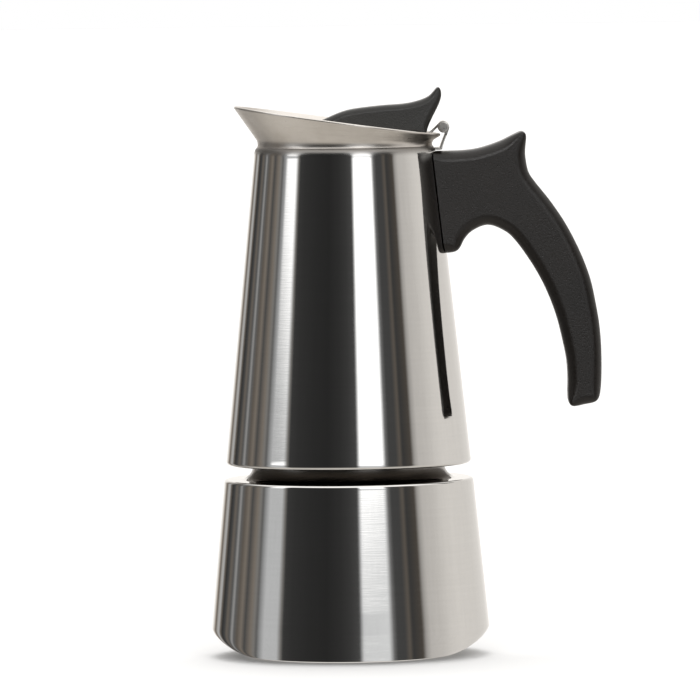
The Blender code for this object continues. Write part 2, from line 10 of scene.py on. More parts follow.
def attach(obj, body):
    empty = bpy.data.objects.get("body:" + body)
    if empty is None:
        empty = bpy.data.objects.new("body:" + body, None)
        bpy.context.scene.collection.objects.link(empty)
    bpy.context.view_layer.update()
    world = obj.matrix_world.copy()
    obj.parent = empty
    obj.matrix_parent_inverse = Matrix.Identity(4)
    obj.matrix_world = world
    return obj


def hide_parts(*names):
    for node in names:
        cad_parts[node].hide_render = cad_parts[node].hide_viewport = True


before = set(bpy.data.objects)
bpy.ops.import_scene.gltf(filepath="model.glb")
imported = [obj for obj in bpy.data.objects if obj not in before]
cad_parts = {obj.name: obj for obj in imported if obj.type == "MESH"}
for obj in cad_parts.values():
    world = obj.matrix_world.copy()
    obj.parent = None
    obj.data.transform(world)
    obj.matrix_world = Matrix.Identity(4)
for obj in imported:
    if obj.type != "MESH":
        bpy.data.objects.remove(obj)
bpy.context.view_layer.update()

MM = 0.001
SEGS = 224

# --------------------------------------------------------------- dimensions, mm
RIM_R, RIM_Z = 45.1, 64.3
BELLY_R, BELLY_Z = 50.2, 10.5
FOOT_R, CORNER_N = 36.2, 1.45
BASE_R, BASE_T = 34.6, 2.7
NECK_R, NECK_BORE, NECK_TOP, NECK_FILLET = 34.6, 32.6, 79.0, 5.0
COLL_BOTTOM, COLL_R0, COLL_SLOPE, COLL_TOP = 69.5, 44.4, 0.1035, 181.0
CREASE_R, CREASE_Z, COLL_WALL = 30.9, 185.3, 1.0
SKIRT_BORE, FLOOR_Z = 35.3, 84.3
RIM_FRONT, RIM_BACK = (-39.8, 198.8), (34.8, 187.9)
FLARE_FRONT, COLLAR_T = 0.69, 1.0
HINGE_X, HINGE_Z, KNUCKLE_R, PIN_R = 35.7, 191.0, 2.1, 1.2
HANDLE_HALF, SCREW_X = 9.5, 51.0
VALVE_Z, VALVE_TILT = 50.0, math.atan(0.0924)
PITCH = 3.0
GAP = 0.3


def coll_r(z):
    return COLL_R0 - COLL_SLOPE * (z - COLL_BOTTOM)


# ================================================================== materials
class Nodes:
    """Small helper to lay out a node tree."""

    def __init__(self, mat):
        self.nt = mat.node_tree
        self.n = self.nt.nodes

    def add(self, kind, **props):
        node = self.n.new(kind)
        for k, v in props.items():
            setattr(node, k, v)
        return node

    def link(self, a, b):
        self.nt.links.new(a, b)

    def coords(self, scale):
        tc = self.add("ShaderNodeTexCoord")
        mp = self.add("ShaderNodeMapping")
        mp.inputs["Scale"].default_value = scale
        self.link(tc.outputs["Object"], mp.inputs["Vector"])
        return mp.outputs["Vector"]

    def noise(self, vector, scale, detail=3.0, rough=0.5):
        t = self.add("ShaderNodeTexNoise")
        t.inputs["Scale"].default_value = scale
        t.inputs["Detail"].default_value = detail
        t.inputs["Roughness"].default_value = rough
        self.link(vector, t.inputs["Vector"])
        return t.outputs["Fac"]

    def remap(self, value, a0, a1, b0, b1):
        m = self.add("ShaderNodeMapRange")
        m.inputs["From Min"].default_value = a0
        m.inputs["From Max"].default_value = a1
        m.inputs["To Min"].default_value = b0
        m.inputs["To Max"].default_value = b1
        self.link(value, m.inputs["Value"])
        return m.outputs["Result"]

    def mix(self, fac, a, b):
        m = self.add("ShaderNodeMix", data_type="RGBA")
        m.inputs["A"].default_value = (*a, 1.0)
        m.inputs["B"].default_value = (*b, 1.0)
        self.link(fac, m.inputs["Factor"])
        return m.outputs["Result"]

    def bump(self, height, strength, distance, normal=None):
        b = self.add("ShaderNodeBump")
        b.inputs["Strength"].default_value = strength
        b.inputs["Distance"].default_value = distance
        self.link(height, b.inputs["Height"])
        if normal is not None:
            self.link(normal, b.inputs["Normal"])
        return b.outputs["Normal"]


def new_material(name):
    mat = bpy.data.materials.new(name)
    mat.use_nodes = True
    bsdf = mat.node_tree.nodes["Principled BSDF"]
    return mat, bsdf, Nodes(mat)


def upright_normal(k):
    """The wall's own normal carried down over the sloping foot corner, so the
    polish reads as one surface down to the base."""
    geo = k.add("ShaderNodeNewGeometry")
    sep = k.add("ShaderNodeSeparateXYZ")
    k.link(geo.outputs["Normal"], sep.inputs[0])
    tc = k.add("ShaderNodeTexCoord")
    pos = k.add("ShaderNodeSeparateXYZ")
    k.link(tc.outputs["Object"], pos.inputs[0])

    def m(op, a, b=None, c=None):
        node = k.add("ShaderNodeMath", operation=op)
        for i, v in enumerate((a, b, c)):
            if v is None:
                continue
            if isinstance(v, (int, float)):
                node.inputs[i].default_value = v
            else:
                k.link(v, node.inputs[i])
        return node.outputs[0]

    x, y, z = pos.outputs["X"], pos.outputs["Y"], pos.outputs["Z"]
    r = m("SQRT", m("ADD", m("MULTIPLY", x, x), m("MULTIPLY", y, y)))
    cone = m("MULTIPLY_ADD", z, -0.0924, BELLY_R * MM + 0.0924 * BELLY_Z * MM)
    cone = m("MAXIMUM", cone, r)
    nx_true, ny_true = m("DIVIDE", x, r), m("DIVIDE", y, r)
    nx = m("DIVIDE", x, cone)
    ny = m("MULTIPLY", m("SIGN", y),
           m("SQRT", m("SUBTRACT", 1.0, m("MULTIPLY", nx, nx))))
    side_w = k.add("ShaderNodeMapRange", interpolation_type="SMOOTHSTEP")
    side_w.inputs["From Min"].default_value = 0.08
    side_w.inputs["From Max"].default_value = 0.55
    k.link(m("ABSOLUTE", ny_true), side_w.inputs["Value"])
    sw = side_w.outputs["Result"]
    mx = m("ADD", nx_true, m("MULTIPLY", sw, m("SUBTRACT", nx, nx_true)))
    my = m("ADD", ny_true, m("MULTIPLY", sw, m("SUBTRACT", ny, ny_true)))
    flat = k.add("ShaderNodeCombineXYZ")
    k.link(mx, flat.inputs["X"])
    k.link(my, flat.inputs["Y"])
    unit = k.add("ShaderNodeVectorMath", operation="NORMALIZE")
    k.link(flat.outputs[0], unit.inputs[0])
    lift = k.add("ShaderNodeVectorMath", operation="ADD")
    k.link(unit.outputs[0], lift.inputs[0])
    lift.inputs[1].default_value = (0.0, 0.0, 0.0924)
    side = k.add("ShaderNodeVectorMath", operation="NORMALIZE")
    k.link(lift.outputs[0], side.inputs[0])
    low = k.add("ShaderNodeMapRange", interpolation_type="SMOOTHSTEP")
    low.inputs["From Min"].default_value = 0.06
    low.inputs["From Max"].default_value = 0.0
    low.inputs["To Min"].default_value = 0.0
    low.inputs["To Max"].default_value = 1.0
    k.link(sep.outputs["Z"], low.inputs["Value"])
    under = k.add("ShaderNodeMapRange", interpolation_type="SMOOTHSTEP")
    under.inputs["From Min"].default_value = -0.985
    under.inputs["From Max"].default_value = -0.95
    k.link(sep.outputs["Z"], under.inputs["Value"])
    outer = m("GREATER_THAN", r, FOOT_R * MM - 0.0002)
    both = m("MULTIPLY", m("MULTIPLY", low.outputs["Result"],
                           under.outputs["Result"]), outer)
    pick = k.add("ShaderNodeMix", data_type="VECTOR")
    k.link(both, pick.inputs["Factor"])
    k.link(geo.outputs["Normal"], pick.inputs[4])
    k.link(side.outputs[0], pick.inputs[5])
    out = k.add("ShaderNodeVectorMath", operation="NORMALIZE")
    k.link(pick.outputs[1], out.inputs[0])
    return out.outputs[0]


def polished(name, colour=(0.63, 0.62, 0.605), rough=(0.03, 0.08),
             lines=0.05, wave=0.010, foot=False, painted_shade_band=None):
    """Mirror-polished sheet: faint drawing lines round the body, a slight
    waviness, and a cloudy change in gloss."""
    mat, bsdf, k = new_material(name)
    bsdf.inputs["Metallic"].default_value = 1.0
    soft = k.noise(k.coords((18, 18, 18)), 1.0, 3.0)
    band = k.noise(k.coords((40, 40, 900)), 1.0, 4.0, 0.6)
    fine = k.noise(k.coords((120, 120, 4200)), 1.0, 2.0)
    hair = k.noise(k.coords((700, 700, 5)), 1.0, 4.0, 0.7)
    tone = k.add("ShaderNodeMath", operation="ADD")
    k.link(k.remap(band, 0.3, 0.7, 0.0, 0.45), tone.inputs[0])
    k.link(k.remap(hair, 0.3, 0.7, 0.0, 0.55), tone.inputs[1])
    k.link(k.mix(tone.outputs[0], tuple(c * 0.965 for c in colour),
                 tuple(min(1, c * 1.03) for c in colour)),
           bsdf.inputs["Base Color"])
    add = k.add("ShaderNodeMath", operation="MULTIPLY")
    k.link(soft, add.inputs[0])
    k.link(k.remap(band, 0.3, 0.7, 0.75, 1.3), add.inputs[1])
    gloss = k.remap(add.outputs[0], 0.25, 0.8, rough[0], rough[1])
    k.link(gloss, bsdf.inputs["Roughness"])
    if painted_shade_band:
        # painted shade and painted reflection: a darker, duller band at the end of the
        # wall, coloured for the shade and the reflection of the piece that overhangs
        # it
        z0, z1, shade, grey = painted_shade_band
        obj = k.add("ShaderNodeTexCoord")
        pos = k.add("ShaderNodeSeparateXYZ")
        k.link(obj.outputs["Object"], pos.inputs[0])
        step = k.add("ShaderNodeMapRange", interpolation_type="SMOOTHSTEP")
        step.inputs["From Min"].default_value = z0 * MM
        step.inputs["From Max"].default_value = z1 * MM
        k.link(pos.outputs["Z"], step.inputs["Value"])
        both = k.add("ShaderNodeMix", data_type="RGBA")
        k.link(step.outputs["Result"], both.inputs["Factor"])
        k.link(bsdf.inputs["Base Color"].links[0].from_socket, both.inputs["A"])
        both.inputs["B"].default_value = (*shade, 1.0)
        k.link(both.outputs["Result"], bsdf.inputs["Base Color"])
        r2 = k.add("ShaderNodeMix", data_type="FLOAT")
        k.link(step.outputs["Result"], r2.inputs["Factor"])
        k.link(gloss, r2.inputs["A"])
        r2.inputs["B"].default_value = grey
        k.link(r2.outputs["Result"], bsdf.inputs["Roughness"])
    base = upright_normal(k) if foot else None
    n1 = k.bump(soft, wave, 0.004, base)
    n2 = k.bump(fine, lines, 0.00006, n1)
    k.link(n2, bsdf.inputs["Normal"])
    return mat


def satin(name, colour=(0.60, 0.575, 0.545), rough=(0.26, 0.40), lines=0.22,
          along=(160, 160, 3600), cloudy=0.35):
    """Brushed satin steel, lines running round the piece."""
    mat, bsdf, k = new_material(name)
    bsdf.inputs["Metallic"].default_value = 1.0
    cloud = k.remap(k.noise(k.coords((48, 48, 48)), 1.0, 5.0, 0.62),
                    0.3, 0.7, 0.0, 1.0)
    fine = k.noise(k.coords(along), 1.0, 3.0, 0.7)
    dip = tuple(1 - cloudy * q for q in (0.14, 0.16, 0.185))
    k.link(k.mix(cloud, tuple(c * d for c, d in zip(colour, dip)),
                 tuple(min(1, c * (1 + 0.08 * cloudy)) for c in colour)),
           bsdf.inputs["Base Color"])
    k.link(k.remap(fine, 0.3, 0.7, rough[0], rough[1]),
           bsdf.inputs["Roughness"])
    k.link(k.bump(fine, lines, 0.00008), bsdf.inputs["Normal"])
    return mat


def plastic(name, colour, rough, grain=0.35):
    """Moulded black plastic with a fine spark-eroded grain."""
    mat, bsdf, k = new_material(name)
    bsdf.inputs["Metallic"].default_value = 0.0
    bsdf.inputs["IOR"].default_value = 1.5
    bsdf.inputs["Specular IOR Level"].default_value = 0.34
    speck = k.noise(k.coords((3000, 3000, 3000)), 1.0, 2.0, 0.6)
    cell = k.noise(k.coords((1700, 1700, 1700)), 1.0, 3.0, 0.6)
    cloud = k.noise(k.coords((35, 35, 35)), 1.0, 3.0)
    blend = k.add("ShaderNodeMath", operation="MULTIPLY_ADD")
    k.link(speck, blend.inputs[0])
    blend.inputs[1].default_value = 0.6
    k.link(k.remap(cloud, 0.3, 0.7, 0.0, 0.4), blend.inputs[2])
    k.link(k.mix(blend.outputs[0], tuple(c * 0.45 for c in colour),
                 tuple(c * 1.9 for c in colour)), bsdf.inputs["Base Color"])
    k.link(k.remap(cell, 0.3, 0.7, rough - 0.07, rough + 0.09),
           bsdf.inputs["Roughness"])
    n1 = k.bump(cell, grain, 0.00013)
    k.link(k.bump(speck, grain, 0.00008, n1), bsdf.inputs["Normal"])
    return mat


def silicone(name, colour=(0.80, 0.79, 0.75)):
    mat, bsdf, k = new_material(name)
    cloud = k.noise(k.coords((90, 90, 90)), 1.0, 4.0)
    k.link(k.mix(cloud, tuple(c * 0.92 for c in colour), colour),
           bsdf.inputs["Base Color"])
    k.link(k.remap(cloud, 0.3, 0.7, 0.5, 0.66), bsdf.inputs["Roughness"])
    bsdf.inputs["Subsurface Weight"].default_value = 0.15
    bsdf.inputs["Subsurface Scale"].default_value = 0.002
    k.link(k.bump(k.noise(k.coords((900, 900, 900)), 1.0, 2.0), 0.15, 0.00008),
           bsdf.inputs["Normal"])
    return mat


def turned_brass(name):
    mat, bsdf, k = new_material(name)
    bsdf.inputs["Metallic"].default_value = 1.0
    cloud = k.noise(k.coords((260, 260, 260)), 1.0, 4.0)
    fine = k.noise(k.coords((900, 5200, 900)), 1.0, 2.0)
    k.link(k.mix(cloud, (0.63, 0.44, 0.19), (0.80, 0.60, 0.29)),
           bsdf.inputs["Base Color"])
    k.link(k.remap(fine, 0.3, 0.7, 0.18, 0.34), bsdf.inputs["Roughness"])
    k.link(k.bump(fine, 0.2, 0.00006), bsdf.inputs["Normal"])
    return mat


# painted shade and reflection: a darker band on the collector's shoulder under the
# collar and on the boiler's neck in the gap
MIRROR = polished("collector_mirror",
                  painted_shade_band=(180.9, 183.8, (0.25, 0.235, 0.22), 0.40))
BOILER = polished("boiler_mirror", foot=True,
                  painted_shade_band=(64.45, 65.4, (0.30, 0.285, 0.27), 0.24))
# painted shade: the neck thread is coloured dark for the shade in the gap under the
# collector
NECK_THREAD_SHADE = satin("thread_steel", colour=(0.32, 0.305, 0.29), rough=(0.22, 0.32))
# painted shade: the skirt and its thread are coloured dark for the shade in the gap
# between collector and boiler
SKIRT_SHADE_STEEL = satin("skirt_steel", colour=(0.13, 0.115, 0.10), rough=(0.30, 0.42))
HINGE = satin("hinge_steel", colour=(0.68, 0.66, 0.625), rough=(0.27, 0.38),
              lines=0.1, along=(900, 900, 900))
SATIN = satin("collar_satin", cloudy=0.9)
LID_STEEL = satin("lid_plate_satin", rough=(0.22, 0.34), cloudy=0.3)
INNER = satin("inner_satin", colour=(0.58, 0.575, 0.565), rough=(0.20, 0.34))
BRIGHT = satin("bright_steel", colour=(0.66, 0.65, 0.64), rough=(0.10, 0.20),
               lines=0.1, along=(900, 900, 900))
SIEVE = satin("sieve_steel", colour=(0.60, 0.60, 0.59), rough=(0.20, 0.32),
              along=(500, 500, 500))
BASE_STEEL = satin("base_steel", colour=(0.58, 0.58, 0.575), rough=(0.22, 0.38),
                   along=(260, 260, 260))
HANDLE = plastic("handle_black", (0.0050, 0.0036, 0.0026), 0.33, 0.5)
FIN = plastic("lid_black", (0.0145, 0.0138, 0.0122), 0.36, 0.62)
SILICONE = silicone("silicone")
BRASS = turned_brass("valve_brass")


# ================================================================== geometry
def finish_mesh(name, bm, mat, sharp=32.0):
    bmesh.ops.remove_doubles(bm, verts=bm.verts, dist=1e-7)
    bmesh.ops.recalc_face_normals(bm, faces=bm.faces)
    mesh = bpy.data.meshes.new(name)
    bm.to_mesh(mesh)
    bm.free()
    mesh.shade_smooth()
    mesh.set_sharp_from_angle(angle=math.radians(sharp))
    ob = bpy.data.objects.new(name, mesh)
    bpy.context.scene.collection.objects.link(ob)
    mesh.materials.append(mat)
    return ob


def corner(p0, p1, p2, radius, n):
    """Arc that rounds the corner p1."""
    p0, p1, p2 = p0[:2], p1[:2], p2[:2]
    a = Vector((p0[0] - p1[0], p0[1] - p1[1]))
    b = Vector((p2[0] - p1[0], p2[1] - p1[1]))
    la, lb = a.length, b.length
    a.normalize()
    b.normalize()
    ang = math.acos(max(-1.0, min(1.0, a.dot(b))))
    if ang > math.radians(178) or radius <= 0:
        return [tuple(p1)]
    d = radius / math.tan(ang / 2)
    lim = 0.48 * min(la, lb)
    if d > lim:
        d = lim
        radius = d * math.tan(ang / 2)
    mid = (a + b).normalized()
    c = Vector(p1) + mid * (radius / math.sin(ang / 2))
    s = Vector(p1) + a * d
    e = Vector(p1) + b * d
    va, vb = s - c, e - c
    t0 = math.atan2(va.y, va.x)
    dt = math.atan2(vb.y, vb.x) - t0
    dt = (dt + math.pi) % math.tau - math.pi
    return [(c.x + radius * math.cos(t0 + dt * i / n),
             c.y + radius * math.sin(t0 + dt * i / n)) for i in range(n + 1)]


def rounded(points, n=5, hold=0.25):
    """Profile with rounded corners from (r, z[, radius]) points.  Straight
    runs get a close extra point at both ends, so shading stays true."""
    m = len(points)
    out = []
    for i in range(m):
        p0, p1, p2 = points[i - 1], points[i], points[(i + 1) % m]
        r = p1[2] if len(p1) > 2 else 0.0
        out.append(corner(p0, p1, p2, r, n) if r > 0 else [tuple(p1[:2])])
    flat = []
    for i, seg in enumerate(out):
        flat.extend(seg)
        nxt = out[(i + 1) % m][0]
        a, b = Vector(seg[-1]), Vector(nxt)
        length = (b - a).length
        if length > 4 * hold and max(a.x, b.x) > 1e-6:
            u = (b - a).normalized()
            flat.append(tuple(a + u * hold))
            flat.append(tuple(b - u * hold))
    return flat


def lathe(name, pts, mat, segs=SEGS, sharp=32.0):
    """Closed profile turned about Z; points on the axis close with a fan."""
    bm = bmesh.new()
    rings = []
    for r, z in pts:
        if r < 1e-6:
            rings.append([bm.verts.new((0, 0, z * MM))])
        else:
            rings.append([bm.verts.new((r * MM * math.cos(math.tau * i / segs),
                                        r * MM * math.sin(math.tau * i / segs),
                                        z * MM)) for i in range(segs)])
    for a, b in zip(rings, rings[1:] + rings[:1]):
        if len(a) == 1 and len(b) == 1:
            continue
        for i in range(segs):
            j = (i + 1) % segs
            if len(a) == 1:
                bm.faces.new((a[0], b[i], b[j]))
            elif len(b) == 1:
                bm.faces.new((a[i], b[0], a[j]))
            else:
                bm.faces.new((a[i], b[i], b[j], a[j]))
    return finish_mesh(name, bm, mat, sharp)


def arc(cx, cz, r, a0, a1, n):
    return [(cx + r * math.cos(math.radians(a0 + (a1 - a0) * i / n)),
             cz + r * math.sin(math.radians(a0 + (a1 - a0) * i / n)))
            for i in range(n + 1)]


def circle(cx, cy, r, n):
    return [(cx + r * math.cos(math.tau * i / n),
             cy + r * math.sin(math.tau * i / n)) for i in range(n)]


def smooth(points, per=6):
    out = []
    n = len(points)
    for i in range(n - 1):
        p0 = points[max(i - 1, 0)]
        p1, p2 = points[i], points[i + 1]
        p3 = points[min(i + 2, n - 1)]
        for k in range(per):
            t = k / per
            out.append(tuple(
                0.5 * (2 * b + (c - a) * t + (2 * a - 5 * b + 4 * c - d) * t * t
                       + (3 * b - a - 3 * c + d) * t ** 3)
                for a, b, c, d in zip(p0, p1, p2, p3)))
    out.append(points[-1])
    return out


def plate(name, loops, half, mat, plane="XZ", mid=0.0):
    """Flat piece from closed outlines (holes inside the first)."""
    cu = bpy.data.curves.new(name, "CURVE")
    cu.dimensions = "2D"
    cu.fill_mode = "BOTH"
    cu.extrude = half * MM
    for loop in loops:
        sp = cu.splines.new("POLY")
        sp.points.add(len(loop) - 1)
        for p, (u, v) in zip(sp.points, loop):
            p.co = (u * MM, v * MM, 0.0, 1.0)
        sp.use_cyclic_u = True
    tmp = bpy.data.objects.new(name + "_tmp", cu)
    bpy.context.scene.collection.objects.link(tmp)
    if plane == "XZ":
        tmp.matrix_world = (Matrix.Translation((0, mid * MM, 0))
                            @ Matrix.Rotation(math.pi / 2, 4, "X"))
    else:
        tmp.matrix_world = Matrix.Translation((0, 0, mid * MM))
    bpy.context.view_layer.update()
    deps = bpy.context.evaluated_depsgraph_get()
    mesh = bpy.data.meshes.new_from_object(tmp.evaluated_get(deps))
    mesh.transform(tmp.matrix_world)
    bpy.data.objects.remove(tmp, do_unlink=True)
    bpy.data.curves.remove(cu)
    bm = bmesh.new()
    bm.from_mesh(mesh)
    bpy.data.meshes.remove(mesh)
    bmesh.ops.remove_doubles(bm, verts=bm.verts, dist=2e-6)
    bmesh.ops.dissolve_degenerate(bm, dist=1e-6, edges=bm.edges)
    return finish_mesh(name, bm, mat, 32.0)


def resampled(loop, step):
    """Closed outline with even spacing."""
    pts = [Vector(p) for p in loop]
    if (pts[0] - pts[-1]).length < 1e-6:
        pts.pop()
    n = len(pts)
    run = [0.0]
    for i in range(n):
        run.append(run[-1] + (pts[(i + 1) % n] - pts[i]).length)
    count = max(12, round(run[-1] / step))
    out, k = [], 0
    for i in range(count):
        d = run[-1] * i / count
        while run[k + 1] < d:
            k += 1
        t = (d - run[k]) / max(1e-9, run[k + 1] - run[k])
        out.append(pts[k].lerp(pts[(k + 1) % n], t))
    return out


def pillow(name, loop, half, soft, mat, step=0.8, rings=7, share=0.78):
    """Moulded piece: a flat outline whose edges are rounded all round, with
    the rounding held inside the local width of the outline."""
    pts = resampled(loop, step)
    n = len(pts)
    area = sum(pts[i].x * pts[(i + 1) % n].y - pts[(i + 1) % n].x * pts[i].y
               for i in range(n))
    if area < 0:
        pts.reverse()
    for _ in range(2):
        pts = [(pts[i - 1] + pts[i] * 4 + pts[(i + 1) % n]) / 6 for i in range(n)]
    norm = []
    for i in range(n):
        t = (pts[(i + 1) % n] - pts[i - 1]).normalized()
        norm.append(Vector((-t.y, t.x)))          # inwards
    width = []
    for i in range(n):
        best = 1e9
        for j in range(n):
            if j == i:
                continue
            d = pts[j] - pts[i]
            side = norm[i].dot(d)
            if side > 1e-6:
                best = min(best, d.length_squared / (2 * side))
        width.append(min(soft, share * best))
    for _ in range(3):
        width = [min(width[i], (width[i - 2] + width[i - 1] + width[i]
                                + width[(i + 1) % n] + width[(i + 2) % n]) / 5)
                 for i in range(n)]
    for _ in range(4):
        norm = [(norm[i - 1] + norm[i] * 2 + norm[(i + 1) % n]).normalized()
                for i in range(n)]
    bm = bmesh.new()
    rows = []
    for sgn in (1, -1):
        side_rows = []
        for k in range(rings + 1):
            a = math.pi / 2 * k / rings
            row = []
            for q, v, b in zip(pts, norm, width):
                w_in = q + v * (b * (1 - math.cos(a)))
                y = sgn * (half - b + b * math.sin(a))
                row.append(bm.verts.new((w_in.x * MM, y * MM, w_in.y * MM)))
            side_rows.append(row)
        rows.append(side_rows)
    order = list(reversed(rows[0])) + rows[1]
    for a, b in zip(order, order[1:]):
        for i in range(n):
            j = (i + 1) % n
            bm.faces.new((a[i], a[j], b[j], b[i]))
    bm.faces.new(order[0])
    bm.faces.new(list(reversed(order[-1])))
    return finish_mesh(name, bm, mat, 60.0)


def apply_modifiers(ob):
    bpy.context.view_layer.update()
    deps = bpy.context.evaluated_depsgraph_get()
    mesh = bpy.data.meshes.new_from_object(ob.evaluated_get(deps))
    ob.modifiers.clear()
    old = ob.data
    ob.data = mesh
    bpy.data.meshes.remove(old)
    return ob


def bevelled(ob, width, segments=4, angle=35.0, weighted=True):
    mod = ob.modifiers.new("Bevel", "BEVEL")
    mod.width = width * MM
    mod.segments = segments
    mod.limit_method = "ANGLE"
    mod.angle_limit = math.radians(angle)
    mod.use_clamp_overlap = True
    mod.harden_normals = False
    apply_modifiers(ob)
    ob.data.shade_smooth()
    if weighted:
        weigh(ob)
    return ob


def weigh(ob, sharp=40.0):
    ob.data.set_sharp_from_angle(angle=math.radians(sharp))
    mod = ob.modifiers.new("Weighted", "WEIGHTED_NORMAL")
    mod.keep_sharp = True
    mod.weight = 80
    return ob


def cut(ob, *others, operation="DIFFERENCE"):
    for other in others:
        mod = ob.modifiers.new("Cut", "BOOLEAN")
        mod.operation = operation
        mod.solver = "EXACT"
        mod.object = other
    apply_modifiers(ob)
    for other in others:
        bpy.data.objects.remove(other, do_unlink=True)
    return ob


def solid_box(lo, hi):
    bm = bmesh.new()
    bmesh.ops.create_cube(bm, size=1.0)
    bmesh.ops.scale(bm, vec=[(b - a) * MM for a, b in zip(lo, hi)], verts=bm.verts)
    bmesh.ops.translate(bm, vec=[(a + b) / 2 * MM for a, b in zip(lo, hi)],
                        verts=bm.verts)
    return finish_mesh("cut_box", bm, INNER)


def solid_rod(r, lo, hi, axis="Z", at=(0.0, 0.0), steps=48):
    bm = bmesh.new()
    bmesh.ops.create_cone(bm, cap_ends=True, segments=steps, radius1=r * MM,
                          radius2=r * MM, depth=(hi - lo) * MM)
    mid = (hi + lo) / 2 * MM
    if axis == "Z":
        mat = Matrix.Translation((at[0] * MM, at[1] * MM, mid))
    else:
        mat = (Matrix.Translation((at[0] * MM, mid, at[1] * MM))
               @ Matrix.Rotation(-math.pi / 2, 4, "X"))
    bmesh.ops.transform(bm, matrix=mat, verts=bm.verts)
    return finish_mesh("cut_rod", bm, INNER)


def helix_ridge(name, radius, z0, z1, height, half, mat, inward=False,
                phase=0.0, per_turn=96):
    """Rounded thread ridge with tapered ends."""
    turns = (z1 - z0) / PITCH
    n = int(turns * per_turn)
    bm = bmesh.new()
    rows = []
    sign = -1.0 if inward else 1.0
    for i in range(n + 1):
        t = i / n
        a = math.tau * turns * t + phase
        z = z0 + (z1 - z0) * t
        fade = min(1.0, t * turns * 5, (1 - t) * turns * 5)
        fade = max(0.03, math.sin(fade * math.pi / 2))
        row = []
        for u, v in ((-1.15, -0.12), (-0.62, 0.55), (-0.25, 0.95), (0.25, 0.95),
                     (0.62, 0.55), (1.15, -0.12), (0.0, -0.3)):
            r = radius + sign * height * (v * fade if v > 0 else v)
            row.append(bm.verts.new((r * MM * math.cos(a), r * MM * math.sin(a),
                                     (z + u * half) * MM)))
        rows.append(row)
    m = len(rows[0])
    for a, b in zip(rows, rows[1:]):
        for i in range(m):
            j = (i + 1) % m
            bm.faces.new((a[i], a[j], b[j], b[i]))
    bm.faces.new(rows[0])
    bm.faces.new(list(reversed(rows[-1])))
    return finish_mesh(name, bm, mat, 50.0)


def place(ob, body, slot, *nodes):
    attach(ob, body)
    nodes = [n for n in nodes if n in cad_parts]
    if nodes:
        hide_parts(*nodes)
    return ob


# ================================================================== boiler
foot = []
for i in range(25):
    v = (1.0 - i / 24.0) ** 1.25
    u = (1.0 - (1.0 - v) ** CORNER_N) ** (1.0 / CORNER_N)
    foot.append((FOOT_R + (BELLY_R - FOOT_R) * u, 0.25 + (BELLY_Z - 0.25) * v))
wall_top = (RIM_R, RIM_Z - 1.3)
out = [(NECK_BORE + 0.5, NECK_TOP), (NECK_R - 0.6, NECK_TOP),
       (NECK_R - 0.15, NECK_TOP - 0.2), (NECK_R, NECK_TOP - 0.7),
       (NECK_R, 73.0)]
out += arc(NECK_R + NECK_FILLET, RIM_Z + NECK_FILLET, NECK_FILLET, 180, 270, 14)
out += [(43.4, RIM_Z), (43.6, RIM_Z)]
out += arc(RIM_R - 1.15, RIM_Z - 1.2, 1.2, 86, 5, 8)
out += [(RIM_R + 0.07, RIM_Z - 1.6), (RIM_R + 0.10, RIM_Z - 1.9)]
for k in range(1, 6):
    t = k / 6
    out.append((RIM_R + 0.1 + (BELLY_R - RIM_R - 0.1) * t,
                RIM_Z - 1.9 + (BELLY_Z + 0.5 - RIM_Z + 1.9) * t))
out += [(BELLY_R - 0.01, BELLY_Z + 0.5)] + foot
out += [(BASE_R + GAP + 0.3, 0.12), (BASE_R + GAP, 0.4), (BASE_R + GAP, BASE_T + GAP),
        (0.0, BASE_T + GAP)]
inn = [(0.0, 4.2), (36.0, 4.2), (38.5, 4.35), (42.5, 5.0), (44.8, 6.2),
       (46.6, 7.9), (47.9, 9.6), (48.7, 11.6), (48.5, 14.0), (RIM_R - 1.3, 61.0),
       (RIM_R - 1.6, 62.4), (RIM_R - 2.4, 63.1), (41.0, 63.1), (37.4, 64.0),
       (34.6, 65.6), (33.2, 67.0), (NECK_BORE, 69.2), (NECK_BORE, NECK_TOP - 0.5),
       (NECK_BORE + 0.15, NECK_TOP - 0.15)]
boiler = lathe("boiler_body", inn + out, BOILER, sharp=28.0)
place(boiler, "boiler", "boiler_steel", "boiler_shell", "boiler_floor")
thread = helix_ridge("neck_thread", NECK_R, 72.0, 77.6, 0.42, 0.62, NECK_THREAD_SHADE)
place(thread, "boiler", "boiler_steel")

rings = [(0.0, 0.35), (6.0, 0.35), (6.5, 0.0)]
r = 9.0
while r < 31.0:
    rings += [(r, 0.0), (r + 0.25, 0.22), (r + 0.65, 0.22), (r + 0.9, 0.0)]
    r += 2.6
rings += [(BASE_R - 0.9, 0.0), (BASE_R - 0.3, 0.18), (BASE_R, 0.8),
          (BASE_R, BASE_T), (0.0, BASE_T)]
base = lathe("base_disc", rings, BASE_STEEL, sharp=50.0)
place(base, "boiler", "base_steel", "base_plate")

# ---- safety valve
valve_r = RIM_R + (BELLY_R - RIM_R) / (RIM_Z - 1.2 - BELLY_Z) * (RIM_Z - 1.2 - VALVE_Z)
VALVE_M = (Matrix.Translation((0.0, valve_r * MM, VALVE_Z * MM))
           @ Matrix.Rotation(VALVE_TILT - math.pi / 2, 4, "X"))


